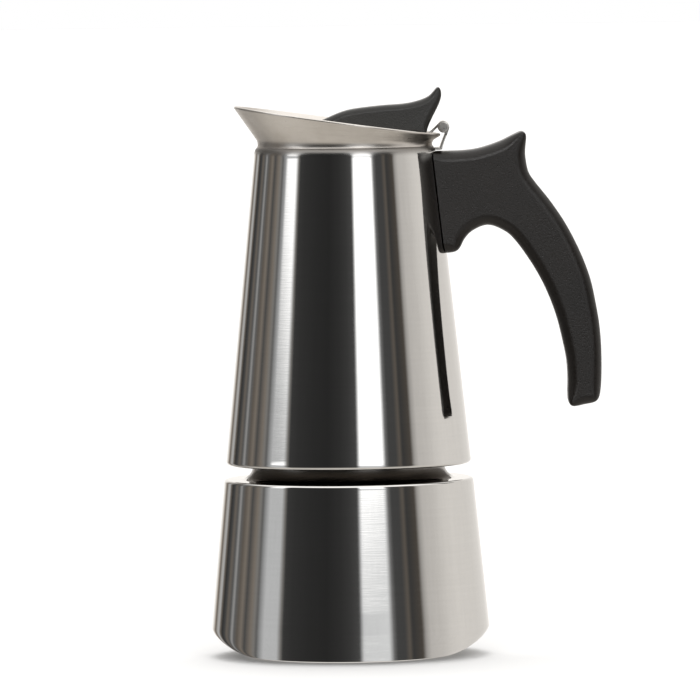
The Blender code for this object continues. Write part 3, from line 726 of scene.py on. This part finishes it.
def hex_ring(name, corner_r, bore_r, rows, mat, segs=96):
    """Hexagon with turned chamfers, built as rings of points.  rows are
    (height, chamfer radius)."""
    bm = bmesh.new()
    rings = []
    for z, cap in rows:
        ring = []
        for i in range(segs):
            a = math.tau * i / segs
            part = (a % (math.pi / 3)) - math.pi / 6
            r = min(cap, corner_r * math.cos(math.pi / 6) / math.cos(part))
            ring.append(bm.verts.new((r * MM * math.cos(a), r * MM * math.sin(a),
                                      z * MM)))
        rings.append(ring)
    for z in (rows[-1][0], rows[0][0]):
        rings.append([bm.verts.new((bore_r * MM * math.cos(math.tau * i / segs),
                                    bore_r * MM * math.sin(math.tau * i / segs),
                                    z * MM)) for i in range(segs)])
    for a, b in zip(rings, rings[1:] + rings[:1]):
        for i in range(segs):
            j = (i + 1) % segs
            bm.faces.new((a[i], a[j], b[j], b[i]))
    return finish_mesh(name, bm, mat, 22.0)


nut = hex_ring("valve_hexagon", 7.5, 4.4, [
    (1.9, 6.25), (2.0, 6.55), (2.15, 6.75), (2.35, 7.0), (2.6, 7.25),
    (2.85, 7.45), (3.05, 7.6), (5.25, 7.6), (5.45, 7.45), (5.7, 7.25),
    (5.95, 7.0), (6.15, 6.75), (6.3, 6.55), (6.4, 6.25)], BRASS)
nut.data.transform(VALVE_M)
place(nut, "boiler", "valve_brass")
stub = lathe("valve_barrel", rounded([
    (5.0, -6.0, 0.3), (5.0, 3.0, 0), (5.6, 3.0, 0), (5.6, 6.75, 0.3),
    (4.3, 6.9, 0.2), (4.0, 7.3, 0.2), (4.0, 9.0, 0.35), (1.75, 9.0, 0.25),
    (1.75, 6.2, 0), (3.6, 6.2, 0), (3.6, -4.6, 0), (2.2, -4.6, 0),
    (2.2, -6.0, 0.2)]), BRASS, 96)
stub.data.transform(VALVE_M)
place(stub, "boiler", "valve_brass", "valve_body")
ring = lathe("valve_seal_ring", rounded([(5.3, 0.85, 0.2), (7.4, 0.85, 0.25),
                                         (7.4, 1.6, 0.25), (5.3, 1.6, 0.2)]),
             SILICONE, 96)
ring.data.transform(VALVE_M)
place(ring, "boiler", "valve_seal", "valve_washer")
pin = lathe("valve_plunger_pin", rounded([
    (0.0, -4.3), (3.1, -4.3, 0.3), (3.1, -2.8, 0.2), (1.4, -2.8, 0.2),
    (1.4, 10.1, 0.5), (0.9, 10.6, 0.4), (0.0, 10.6)]), BRIGHT, 64)
pin.data.transform(VALVE_M)
place(pin, "valve_plunger", "valve_steel", "valve_pin")
coil = bpy.data.curves.new("valve_coil", "CURVE")
coil.dimensions = "3D"
coil.bevel_depth = 0.3 * MM
coil.bevel_resolution = 4
coil.use_fill_caps = True
sp = coil.splines.new("POLY")
sp.points.add(160)
for i, p in enumerate(sp.points):
    t = i / 160
    a = math.tau * 4.0 * t
    p.co = (2.5 * MM * math.cos(a), 2.5 * MM * math.sin(a),
            (-0.95 + 6.45 * t) * MM, 1.0)
tmp = bpy.data.objects.new("coil_tmp", coil)
bpy.context.scene.collection.objects.link(tmp)
bpy.context.view_layer.update()
mesh = bpy.data.meshes.new_from_object(
    tmp.evaluated_get(bpy.context.evaluated_depsgraph_get()))
bpy.data.objects.remove(tmp, do_unlink=True)
bm = bmesh.new()
bm.from_mesh(mesh)
spring = finish_mesh("valve_coil_spring", bm, BRIGHT)
spring.data.transform(VALVE_M)
place(spring, "boiler", "spring_steel", "valve_spring")

# ================================================================== funnel
cup = lathe("coffee_funnel", rounded([
    (33.8, 79.3, 0.3), (33.8, 80.1, 0.38), (30.4, 80.1, 0.9), (30.0, 79.2, 0),
    (30.0, 60.6, 0.6), (28.6, 60.4, 0.3), (5.3, 51.0, 1.5), (5.3, 45.0, 0.2),
    (6.2, 45.0, 0.4), (6.2, 50.6, 1.5), (29.4, 59.9, 0.8), (30.8, 61.0, 0.8),
    (30.8, 79.3, 0.2)]), INNER)
place(cup, "funnel", "funnel_steel", "funnel_cup", "funnel_cone", "funnel_socket")
stem = lathe("funnel_tube", rounded([(4.2, 8.0, 0.2), (5.0, 8.0, 0.3),
                                     (5.0, 50.0, 0.2), (4.2, 50.0, 0.2)]),
             INNER, 96)
cut(stem, solid_rod(2.6, -8, 8, axis="Y", at=(0.0, 8.0)))
stem.data.shade_smooth()
stem.data.set_sharp_from_angle(angle=math.radians(35))
place(stem, "funnel", "funnel_steel", "funnel_stem")


def sieve(name, radius, z0, z1, rings, hole, mat):
    loops = [circle(0, 0, radius, 160), circle(0, 0, hole, 12)]
    for k, (rr, count) in enumerate(rings):
        for i in range(count):
            a = math.tau * (i + 0.5 * (k % 2)) / count
            loops.append(circle(rr * math.cos(a), rr * math.sin(a), hole, 12))
    return plate(name, loops, (z1 - z0) / 2, mat, plane="XY", mid=(z0 + z1) / 2)


screen = sieve("funnel_sieve", 29.5, 60.9, 61.6,
               [(3.2 * k, 6 * k) for k in range(1, 9)], 0.62, SIEVE)
place(screen, "funnel", "filter_steel", "basket_filter")

seal = lathe("sealing_ring", rounded([(26.0, 80.45, 0.5), (34.2, 80.45, 0.5),
                                      (34.2, 83.0, 0.5), (26.0, 83.0, 0.5)]),
             SILICONE)
place(seal, "seal", "gasket_silicone", "gasket")
upper = sieve("upper_sieve", 34.4, 83.3, 84.0,
              [(2.6 * k, 6 * k) for k in range(1, 10)], 0.5, SIEVE)
place(upper, "strainer", "filter_steel", "filter_plate")

# ================================================================== collector
out = [(CREASE_R, CREASE_Z), (CREASE_R + 0.02, 185.0), (CREASE_R + 0.16, 184.5)]
top_r = coll_r(COLL_TOP)
for i in range(1, 11):
    t = i / 10
    # soft shoulder from the crease out to the cone
    a = math.radians(90 * t)
    out.append((CREASE_R + 0.16 + (top_r - CREASE_R - 0.16) * math.sin(a),
                184.5 + (COLL_TOP - 184.5) * (1 - math.cos(a))))
for z in (180.6, 175.0, 160.0, 145.0, 130.0, 115.0, 100.0, 85.0, 73.0, 71.5):
    out.append((coll_r(z), z))
out += arc(coll_r(71.0) - 1.25, 70.85, 1.3, 2, -84, 9)
inn = [(COLL_R0 - 1.45, COLL_BOTTOM + 0.1), (COLL_R0 - 1.4, 71.0),
       (coll_r(90) - COLL_WALL, 90.0), (coll_r(130) - COLL_WALL, 130.0),
       (coll_r(180.3) - COLL_WALL, 180.3), (coll_r(181) - COLL_WALL - 0.3, 181.6),
       (CREASE_R - 0.3, 183.3), (CREASE_R - 0.8, 184.0),
       (CREASE_R - COLL_WALL, 184.8), (CREASE_R - COLL_WALL, CREASE_Z)]
shell = lathe("collector_body", out + inn, MIRROR, sharp=28.0)
place(shell, "collector", "collector_steel", "collector_shell")

floor_piece = lathe("collector_floor", rounded([
    (36.5, 85.3, 0.8), (36.5, 71.2, 0.5), (COLL_R0 - 1.75, 71.2, 0.3),
    (COLL_R0 - 1.75, 70.0, 0.4), (SKIRT_BORE, 70.0, 0.6),
    (SKIRT_BORE, FLOOR_Z, 0), (4.6, FLOOR_Z, 0.2), (4.6, 85.3, 0.3)]), INNER)
# the skirt faces below the collector floor take the painted-shade steel
floor_piece.data.materials.append(SKIRT_SHADE_STEEL)
for poly in floor_piece.data.polygons:
    if poly.center.z < 83.9 * MM:
        poly.material_index = 1
place(floor_piece, "collector", "inner_steel", "collector_base", "collector_skirt")
skirt_thread = helix_ridge("skirt_thread", SKIRT_BORE, 73.5, 79.1, 0.36, 0.55,
                           SKIRT_SHADE_STEEL, inward=True)
place(skirt_thread, "collector", "inner_steel")

riser = lathe("riser_column", rounded([
    (4.6, 85.6, 0.1), (9.0, 85.6, 0.3), (9.0, 86.4, 0.35), (6.6, 87.4, 0.8),
    (5.2, 146.0, 2.0), (5.2, 149.0, 0.2), (4.2, 149.0, 0.2), (4.2, 146.0, 1.0),
    (5.4, 88.0, 0.5)]), INNER, 96)
place(riser, "collector", "inner_steel", "riser_tube")
spout_cap = lathe("riser_head", rounded([
    (5.5, 142.0, 0.2), (6.4, 142.0, 0.3), (6.4, 153.0, 0.9), (5.2, 154.2, 0.8),
    (0.0, 154.2), (0.0, 153.2), (5.0, 153.2, 0.3), (5.5, 152.6, 0.2)]),
    INNER, 96)
cut(spout_cap, solid_box((-1.8, -9, 149.4), (1.8, 9, 152.4)))
spout_cap.data.shade_smooth()
spout_cap.data.set_sharp_from_angle(angle=math.radians(35))
place(spout_cap, "collector", "inner_steel", "riser_cap")

# ---- flared collar
rim_slope = (RIM_BACK[1] - RIM_FRONT[1]) / (RIM_BACK[0] - RIM_FRONT[0])
COLLAR_Z0 = CREASE_Z + GAP
flare_back = (RIM_BACK[0] - CREASE_R) / (RIM_BACK[1] - COLLAR_Z0)


def rim_point(theta):
    w = (1 + math.cos(theta)) / 2
    flare = FLARE_FRONT + (flare_back - FLARE_FRONT) * w ** 3
    z_axis = RIM_FRONT[1] - rim_slope * RIM_FRONT[0]
    rr = ((CREASE_R + flare * (z_axis - COLLAR_Z0))
          / (1 - flare * rim_slope * math.cos(theta)))
    return rr, z_axis + rim_slope * rr * math.cos(theta)


bm = bmesh.new()
cols = []
for i in range(SEGS):
    th = math.tau * i / SEGS
    rt, zt = rim_point(th)
    lean = Vector((rt - CREASE_R, zt - COLLAR_Z0))
    length = lean.length
    u = lean.normalized()
    nin = Vector((-u.y, u.x))            # towards the inside
    p = Vector((CREASE_R, COLLAR_Z0))
    t = COLLAR_T
    lip0, lip1, lip2 = Vector((31.84, 184.05)), Vector((31.05, 185.15)), p + u * 1.7
    prof = [lip0 * (1 - q) ** 2 + lip1 * (2 * q * (1 - q)) + lip2 * q * q
            for q in (0.0, 0.2, 0.4, 0.6, 0.8, 1.0)]
    prof += [p + u * (1.7 + (length - 1.7) * 0.35),
             p + u * (1.7 + (length - 1.7) * 0.7), p + u * (length - 0.75)]
    c = p + u * (length - 0.5) + nin * 0.5
    for k in range(9):
        a = math.pi * k / 8
        prof.append(c - nin * (0.5 * math.cos(a)) + u * (0.5 * math.sin(a)))
    prof += [p + u * (length - 0.75) + nin * t, p + u * (length * 0.7) + nin * t,
             p + u * (length * 0.35) + nin * t, p + u * 0.9 + nin * t]
    prof += [Vector((CREASE_R - t * 1.02, COLLAR_Z0)),
             Vector((CREASE_R - t * 0.98, 184.5)), Vector((31.3, 184.0))]
    col = [bm.verts.new((q.x * MM * math.cos(th), q.x * MM * math.sin(th),
                         q.y * MM)) for q in prof]
    cols.append(col)
m = len(cols[0])
for i in range(SEGS):
    a, b = cols[i], cols[(i + 1) % SEGS]
    for k in range(m):
        j = (k + 1) % m
        bm.faces.new((a[k], b[k], b[j], a[j]))
collar = finish_mesh("spout_collar", bm, SATIN, 40.0)
place(collar, "collector", "collar_steel", "pouring_collar")

# ================================================================== handle
over = smooth([(28.0, 182.2), (36.0, 182.2), (43.4, 182.4), (49.2, 183.3),
               (55.7, 185.4), (60.4, 187.6), (63.4, 189.0)])
horn = smooth([(63.4, 189.0), (64.5, 189.1), (65.3, 188.3), (65.5, 187.0)], 4)[1:]
grip_out = smooth([(65.4, 186.0), (65.1, 183.0), (65.1, 180.0), (66.1, 174.6),
                   (68.5, 170.8), (73.9, 163.9), (78.8, 156.6), (82.7, 149.3),
                   (85.9, 142.0), (88.3, 134.8), (89.9, 127.0), (91.1, 119.5),
                   (91.7, 112.0), (91.8, 104.0), (91.6, 98.0), (91.2, 94.4)])
tip = smooth([(91.2, 94.4), (90.6, 92.4), (89.1, 91.0), (85.2, 90.2),
              (81.6, 89.6), (80.1, 90.2), (79.6, 92.0)], 5)[1:]
grip_in = smooth([(79.5, 95.0), (79.6, 100.0), (79.2, 106.5), (77.9, 113.2),
                  (76.2, 120.5), (73.8, 127.7), (70.6, 135.0), (66.4, 142.3),
                  (61.4, 149.4), (57.5, 153.1), (51.4, 155.5), (45.8, 153.5),
                  (42.8, 150.5), (41.3, 147.6), (39.6, 146.0), (36.0, 145.5),
                  (28.0, 145.5)])
handle = pillow("handle_grip", over + horn + grip_out + tip + grip_in,
                HANDLE_HALF, 4.0, HANDLE)
saddle = lathe("cut_saddle", [
    (0.0, 186.0), (CREASE_R + 0.5, 186.0), (CREASE_R + 0.6, 184.6),
    (top_r - 0.45, 183.1), (top_r + 0.3, COLL_TOP),
    (coll_r(120) + 0.3, 120.0), (0.0, 120.0)], INNER)
cut(handle, saddle)
PAD_Z, PAD_HALF, TONGUE_Z, TONGUE_X = (152.0, 178.0), 6.5, (165.0, 166.6), 57.0
pocket = lathe("cut_pocket", [
    (coll_r(178.3) + 1.8, 178.3), (coll_r(151.7) + 1.8, 151.7),
    (coll_r(151.7) - 0.5, 151.7), (coll_r(178.3) - 0.5, 178.3)], INNER)
cut(pocket, solid_box((20, -6.8, 140), (60, 6.8, 185)), operation="INTERSECT")
cut(handle, pocket, solid_box((34, -6.3, 164.7), (57.4, 6.3, 166.9)),
    solid_rod(2.2, 150, 171.5, at=(SCREW_X, 0)),
    solid_rod(4.4, 150, 160.0, at=(SCREW_X, 0)))
handle.data.shade_smooth()
weigh(handle, 42)
place(handle, "collector", "handle_plastic", "handle")

screw = lathe("arch_screw", rounded([
    (0.0, 156.4), (3.2, 156.4, 0.6), (4.0, 157.2, 0.5), (4.0, 159.7, 0.2),
    (1.9, 159.7, 0.2), (1.9, 170.2, 0.3), (1.2, 170.9, 0.3), (0.0, 170.9)]),
    BRIGHT, 64)
screw.data.transform(Matrix.Translation((SCREW_X * MM, 0, 0)))
cut(screw, solid_box((SCREW_X - 2.6, -0.45, 155), (SCREW_X + 2.6, 0.45, 158)),
    solid_box((SCREW_X - 0.45, -2.6, 155), (SCREW_X + 0.45, 2.6, 158)))
screw.data.shade_smooth()
screw.data.set_sharp_from_angle(angle=math.radians(35))
place(screw, "collector", "screw_steel", "handle_screw")

# ================================================================== hinge, lid
bore = circle(HINGE_X, HINGE_Z, PIN_R + 0.08, 40)
leaf = arc(HINGE_X, HINGE_Z, KNUCKLE_R, -11, 290, 60)
leaf += smooth([(36.0, 188.2), (35.4, 186.6), (34.7, 184.9), (34.3, 183.75),
                (33.6, 183.55), (32.5, 183.55)], 4)
leaf += smooth([(32.5, 182.75), (34.6, 182.75), (35.1, 183.1), (35.5, 184.5),
                (36.1, 186.2), (36.9, 188.1)], 4)
bracket = plate("hinge_leaf", [leaf, bore], 8.0, HINGE)
cut(bracket, solid_rod(KNUCKLE_R + 0.35, -3.6, 3.6, axis="Y",
                       at=(HINGE_X, HINGE_Z)))
bevelled(bracket, 0.12, 2, 40)
place(bracket, "collector", "hinge_steel", "hinge_bracket")
hpin = lathe("hinge_rod", rounded([
    (0.0, -8.4), (1.7, -8.4, 0.15), (1.7, -8.15, 0.1), (1.2, -8.15, 0),
    (1.2, 8.15, 0), (1.7, 8.15, 0.1), (1.7, 8.4, 0.15), (0.0, 8.4)]),
    HINGE, 48)
hpin.data.transform(Matrix.Translation((HINGE_X * MM, 0, HINGE_Z * MM))
                    @ Matrix.Rotation(math.pi / 2, 4, "X"))
place(hpin, "collector", "hinge_steel", "hinge_pin")

RIVET_X, LID_FLAT, FIN_HALF = (12.0, 24.0), 23.0, 9.0
edge = math.acos(LID_FLAT / 30.0)
disc_loop = [(30.0 * math.cos(-math.pi + edge + (math.tau - 2 * edge) * i / 180),
              30.0 * math.sin(-math.pi + edge + (math.tau - 2 * edge) * i / 180))
             for i in range(181)]
disc = plate("lid_plate", [disc_loop] + [circle(x, 0, 1.85, 24) for x in RIVET_X],
             0.4, LID_STEEL, plane="XY", mid=187.4)
bevelled(disc, 0.15, 2, 40)
place(disc, "lid", "lid_steel", "lid_disc")

strap = arc(HINGE_X, HINGE_Z, KNUCKLE_R, 185, 500, 60)
strap += smooth([(30.9, 189.35), (30.4, 188.98), (29.8, 188.9)], 3)
strap += [(7.0, 188.9), (7.0, 188.1)]
strap += smooth([(30.3, 188.1), (31.0, 188.35), (31.5, 188.8)], 3)
lid_leaf = plate("lid_strap", [strap, bore], 6.0, HINGE)
cut(lid_leaf, solid_box((31.2, 3.3, 180), (45, 9, 200)),
    solid_box((31.2, -9, 180), (45, -3.3, 200)),
    *[solid_rod(1.85, 186, 190.5, at=(x, 0), steps=24) for x in RIVET_X])
bevelled(lid_leaf, 0.12, 2, 40)
place(lid_leaf, "lid", "hinge_steel", "lid_leaf")

fin_top = smooth([(-21.0, 188.9), (-14.0, 191.4), (-7.0, 194.3), (-1.2, 196.7),
                  (4.0, 197.9), (13.3, 198.9), (21.0, 199.4), (26.0, 200.3),
                  (30.3, 201.9), (32.4, 203.9), (33.5, 205.2), (34.3, 205.4)])
fin_back = smooth([(34.7, 204.8), (35.0, 203.6), (34.9, 201.6), (33.8, 198.6),
                   (31.6, 194.3), (30.1, 191.0), (29.4, 188.1)])
fin = pillow("lid_fin", [(-21.0, 188.1)] + fin_top + fin_back, FIN_HALF, 2.2,
             FIN, step=0.6)


def fin_half(x):
    if x < 2.0:
        t = min(1.0, max(0.0, (2.0 - x) / 23.0))
        return FIN_HALF - 5.0 * t * t
    t = min(1.0, max(0.0, (x - 20.0) / 15.0))
    return FIN_HALF - 1.2 * t * t


for v in fin.data.vertices:
    v.co.y *= fin_half(v.co.x / MM) / FIN_HALF
cut(fin, solid_box((6.5, -6.3, 186), (36, 6.3, 189.2)),
    *[solid_rod(1.85, 186, 194.5, at=(x, 0), steps=24) for x in RIVET_X])
fin.data.shade_smooth()
weigh(fin, 42)
place(fin, "lid", "lid_plastic", "lid_cap")

for name, node, x in (("rivet_front", "lid_rivet_front", RIVET_X[0]),
                      ("rivet_back", "lid_rivet_back", RIVET_X[1])):
    rivet = lathe(name, rounded([
        (0.0, 185.2), (1.6, 185.4, 0.8), (2.9, 186.0, 0.6), (3.1, 186.7, 0.15),
        (1.55, 186.7, 0.1), (1.55, 194.0, 0.3), (0.0, 194.0)]), BRIGHT, 48)
    rivet.data.transform(Matrix.Translation((x * MM, 0, 0)))
    place(rivet, "lid", "screw_steel", node)

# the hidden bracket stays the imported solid, with a finished surface
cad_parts["handle_bracket"].data.materials.clear()
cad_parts["handle_bracket"].data.materials.append(INNER)

# ================================================================== studio
fmesh = bpy.data.meshes.new("floor")
bm = bmesh.new()
bmesh.ops.create_grid(bm, x_segments=2, y_segments=2, size=30.0)
bm.to_mesh(fmesh)
bm.free()
floor = bpy.data.objects.new("floor", fmesh)
bpy.context.scene.collection.objects.link(floor)
fmat, fb, k = new_material("floor_paper")
k.link(k.mix(k.noise(k.coords((3, 3, 3)), 1.0, 2.0), (0.50, 0.50, 0.50),
             (0.52, 0.52, 0.52)), fb.inputs["Base Color"])
fb.inputs["Roughness"].default_value = 0.9
fb.inputs["Specular IOR Level"].default_value = 0.1
fmesh.materials.append(fmat)
fb.inputs["Emission Color"].default_value = (1.0, 0.99, 0.98, 1.0)
fb.inputs["Emission Strength"].default_value = 0.11
floor.visible_glossy = False

world = bpy.data.worlds.new("studio")
bpy.context.scene.world = world
world.use_nodes = True
wt = world.node_tree
for node in list(wt.nodes):
    wt.nodes.remove(node)


def w(kind, **props):
    node = wt.nodes.new(kind)
    for key, v in props.items():
        setattr(node, key, v)
    return node


def math_node(op, a, b=None):
    node = w("ShaderNodeMath", operation=op)
    for i, v in enumerate((a, b)):
        if v is None:
            continue
        if isinstance(v, (int, float)):
            node.inputs[i].default_value = v
        else:
            wt.links.new(v, node.inputs[i])
    return node.outputs[0]


tc = w("ShaderNodeTexCoord")
sep = w("ShaderNodeSeparateXYZ")
wt.links.new(tc.outputs["Generated"], sep.inputs[0])
neg_y = math_node("MULTIPLY", sep.outputs["Y"], -1.0)
azim = math_node("ARCTAN2", sep.outputs["X"], neg_y)      # 0 towards the camera
elev = math_node("ARCSINE", sep.outputs["Z"])
STEEL = 0.62

NEUTRAL, WARM, BROWN, COOL = ((1, 1, 1), (1.035, 1.0, 0.955),
                              (1.12, 0.98, 0.84), (0.98, 1.0, 1.02))
# azimuth in degrees from the camera side, seen brightness, tint
LEFT = [(-180, 0.66, WARM), (-166, 0.66, WARM), (-161, 0.50, WARM),
        (-156, 0.25, BROWN), (-152, 0.09, BROWN), (-147, 0.30, WARM),
        (-143, 0.36, NEUTRAL), (-139, 0.10, BROWN), (-135, 0.03, NEUTRAL),
        (-130, 0.055, NEUTRAL), (-126, 0.11, BROWN), (-121, 0.08, NEUTRAL),
        (-117, 0.26, NEUTRAL), (-114, 0.10, NEUTRAL), (-109, 0.09, BROWN),
        (-104, 0.15, BROWN), (-99, 0.06, NEUTRAL), (-92, 0.15, BROWN),
        (-88, 0.17, WARM), (-85, 0.10, NEUTRAL), (-82, 0.24, COOL),
        (-77, 0.44, COOL), (-64, 0.44, COOL), (-60.5, 0.16, WARM),
        (-58, 0.036, NEUTRAL), (-50, 0.028, NEUTRAL), (-35, 0.022, NEUTRAL),
        (-20, 0.019, NEUTRAL), (-8, 0.026, NEUTRAL), (0, 0.036, NEUTRAL)]
RIGHT = [(0, 0.036, NEUTRAL), (7.5, 0.055, NEUTRAL), (11, 0.56, COOL),
         (32, 0.60, COOL), (36, 0.13, NEUTRAL), (39, 0.05, NEUTRAL),
         (46, 0.048, NEUTRAL), (50, 0.085, BROWN), (53, 0.036, NEUTRAL),
         (62, 0.055, BROWN), (65.5, 0.30, WARM), (70, 0.43, WARM),
         (82, 0.47, WARM), (92, 0.54, WARM), (104, 0.58, WARM),
         (135, 0.55, WARM), (155, 0.56, WARM), (180, 0.66, WARM)]


def ramp(stops, lo, hi, scale):
    node = w("ShaderNodeValToRGB")
    m = w("ShaderNodeMapRange")
    m.inputs["From Min"].default_value = math.radians(lo)
    m.inputs["From Max"].default_value = math.radians(hi)
    wt.links.new(azim, m.inputs["Value"])
    wt.links.new(m.outputs["Result"], node.inputs["Fac"])
    cr = node.color_ramp
    while len(cr.elements) > 1:
        cr.elements.remove(cr.elements[-1])
    for i, (a, v, tint) in enumerate(stops):
        e = cr.elements[0] if i == 0 else cr.elements.new((a - lo) / (hi - lo))
        e.position = (a - lo) / (hi - lo)
        e.color = tuple(v / scale * t for t in tint) + (1.0,)
    return node.outputs["Color"]


left = ramp(LEFT, -180, 0, STEEL)
right = ramp(RIGHT, 0, 180, STEEL)
side_mix = w("ShaderNodeMix", data_type="RGBA")
wt.links.new(math_node("GREATER_THAN", azim, 0.0), side_mix.inputs["Factor"])
wt.links.new(left, side_mix.inputs["A"])
wt.links.new(right, side_mix.inputs["B"])

# the two soft boxes are brighter above about seven degrees
BOXES = [(-180, 0, NEUTRAL), (-80, 0.0, NEUTRAL), (-77, 0.7, NEUTRAL),
         (-65, 0.7, NEUTRAL), (-61, 0.0, NEUTRAL), (8, 0.0, NEUTRAL),
         (11.5, 0.8, NEUTRAL), (31.5, 0.8, NEUTRAL), (35, 0.0, NEUTRAL),
         (180, 0.0, NEUTRAL)]
boxes = ramp(BOXES, -180, 180, STEEL)
rise = w("ShaderNodeMapRange", interpolation_type="SMOOTHSTEP")
rise.inputs["From Min"].default_value = math.radians(6.2)
rise.inputs["From Max"].default_value = math.radians(8.4)
wt.links.new(elev, rise.inputs["Value"])
boost = w("ShaderNodeMix", data_type="RGBA", blend_type="MULTIPLY")
boost.inputs["Factor"].default_value = 1.0
wt.links.new(boxes, boost.inputs["A"])
wt.links.new(rise.outputs["Result"], boost.inputs["B"])
plus = w("ShaderNodeMix", data_type="RGBA", blend_type="ADD")
plus.inputs["Factor"].default_value = 1.0
wt.links.new(side_mix.outputs["Result"], plus.inputs["A"])
wt.links.new(boost.outputs["Result"], plus.inputs["B"])

over_mix = w("ShaderNodeMix", data_type="RGBA")
high = w("ShaderNodeMapRange", interpolation_type="SMOOTHSTEP")
high.inputs["From Min"].default_value = math.radians(26)
high.inputs["From Max"].default_value = math.radians(50)
wt.links.new(elev, high.inputs["Value"])
wt.links.new(high.outputs["Result"], over_mix.inputs["Factor"])
wt.links.new(plus.outputs["Result"], over_mix.inputs["A"])
over_mix.inputs["B"].default_value = (1.7, 1.68, 1.65, 1.0)

low_mix = w("ShaderNodeMix", data_type="RGBA")
low = w("ShaderNodeMapRange", interpolation_type="SMOOTHSTEP")
low.inputs["From Min"].default_value = math.radians(-8)
low.inputs["From Max"].default_value = math.radians(-48)
wt.links.new(elev, low.inputs["Value"])
wt.links.new(low.outputs["Result"], low_mix.inputs["Factor"])
wt.links.new(over_mix.outputs["Result"], low_mix.inputs["A"])
low_mix.inputs["B"].default_value = (0.80, 0.76, 0.70, 1.0)
bg_light = w("ShaderNodeBackground")
wt.links.new(low_mix.outputs["Result"], bg_light.inputs["Color"])
bg_light.inputs["Strength"].default_value = 1.0
bg_seen = w("ShaderNodeBackground")
bg_seen.inputs["Color"].default_value = (1.0, 1.0, 1.0, 1.0)
bg_seen.inputs["Strength"].default_value = 1.0
lp = w("ShaderNodeLightPath")
shader_mix = w("ShaderNodeMixShader")
wt.links.new(lp.outputs["Is Camera Ray"], shader_mix.inputs[0])
wt.links.new(bg_light.outputs[0], shader_mix.inputs[1])
wt.links.new(bg_seen.outputs[0], shader_mix.inputs[2])
wout = w("ShaderNodeOutputWorld")
wt.links.new(shader_mix.outputs[0], wout.inputs["Surface"])


def area(name, loc, target, size, power, colour=(1, 1, 1), glossy=False):
    light = bpy.data.lights.new(name, "AREA")
    light.shape = "DISK"
    light.size = size
    light.energy = power
    light.color = colour
    ob = bpy.data.objects.new(name, light)
    ob.location = loc
    ob.rotation_euler = (Vector(target) - Vector(loc)).to_track_quat(
        "-Z", "Y").to_euler()
    ob.visible_glossy = glossy
    ob.visible_camera = False
    bpy.context.scene.collection.objects.link(ob)
    return ob


lit = bpy.data.collections.new("floor_only")
lit.objects.link(floor)
sky = bpy.data.lights.new("floor_wash", "SUN")
sky.energy = 1.5
sky.angle = math.radians(32)
sky_ob = bpy.data.objects.new("floor_wash", sky)
sky_ob.location = (0, 1.4, 1.6)
sky_ob.rotation_euler = (math.radians(-17), 0.0, 0.0)
sky_ob.visible_glossy = False
bpy.context.scene.collection.objects.link(sky_ob)
sky_ob.light_linking.receiver_collection = lit
fill = bpy.data.lights.new("floor_fill", "SUN")
fill.energy = 1.5
fill.angle = math.radians(50)
fill_ob = bpy.data.objects.new("floor_fill", fill)
fill_ob.location = (0, -1.6, 1.6)
fill_ob.rotation_euler = (math.radians(48), 0.0, 0.0)
fill_ob.visible_glossy = False
bpy.context.scene.collection.objects.link(fill_ob)
fill_ob.light_linking.receiver_collection = lit

moulded = bpy.data.collections.new("moulded_only")
moulded.objects.link(handle)
moulded.objects.link(fin)
key = bpy.data.lights.new("plastic_key", "SUN")
key.energy = 0.85
key.angle = math.radians(18)
key_ob = bpy.data.objects.new("plastic_key", key)
key_ob.location = (-0.4, -2.0, 0.9)
key_ob.rotation_euler = (math.radians(74), 0.0, math.radians(-10))
bpy.context.scene.collection.objects.link(key_ob)
key_ob.light_linking.receiver_collection = moulded

cam = bpy.data.cameras.new("camera")
cam.lens = 427.0
cam.sensor_width = 36.0
cam.clip_end = 100.0
cam_ob = bpy.data.objects.new("camera", cam)
bpy.context.scene.collection.objects.link(cam_ob)
eye = Vector((0.001, -3.0, 0.250))
aim = Vector((0.001, 0.0, 0.1106))
q = (aim - eye).to_track_quat("-Z", "Y")
cam_ob.matrix_world = (Matrix.Translation(eye) @ q.to_matrix().to_4x4()
                       @ Matrix.Rotation(math.radians(-0.7), 4, "Z"))
bpy.context.scene.camera = cam_ob
bpy.context.scene.view_settings.view_transform = "Standard"
bpy.context.scene.view_settings.look = "None"
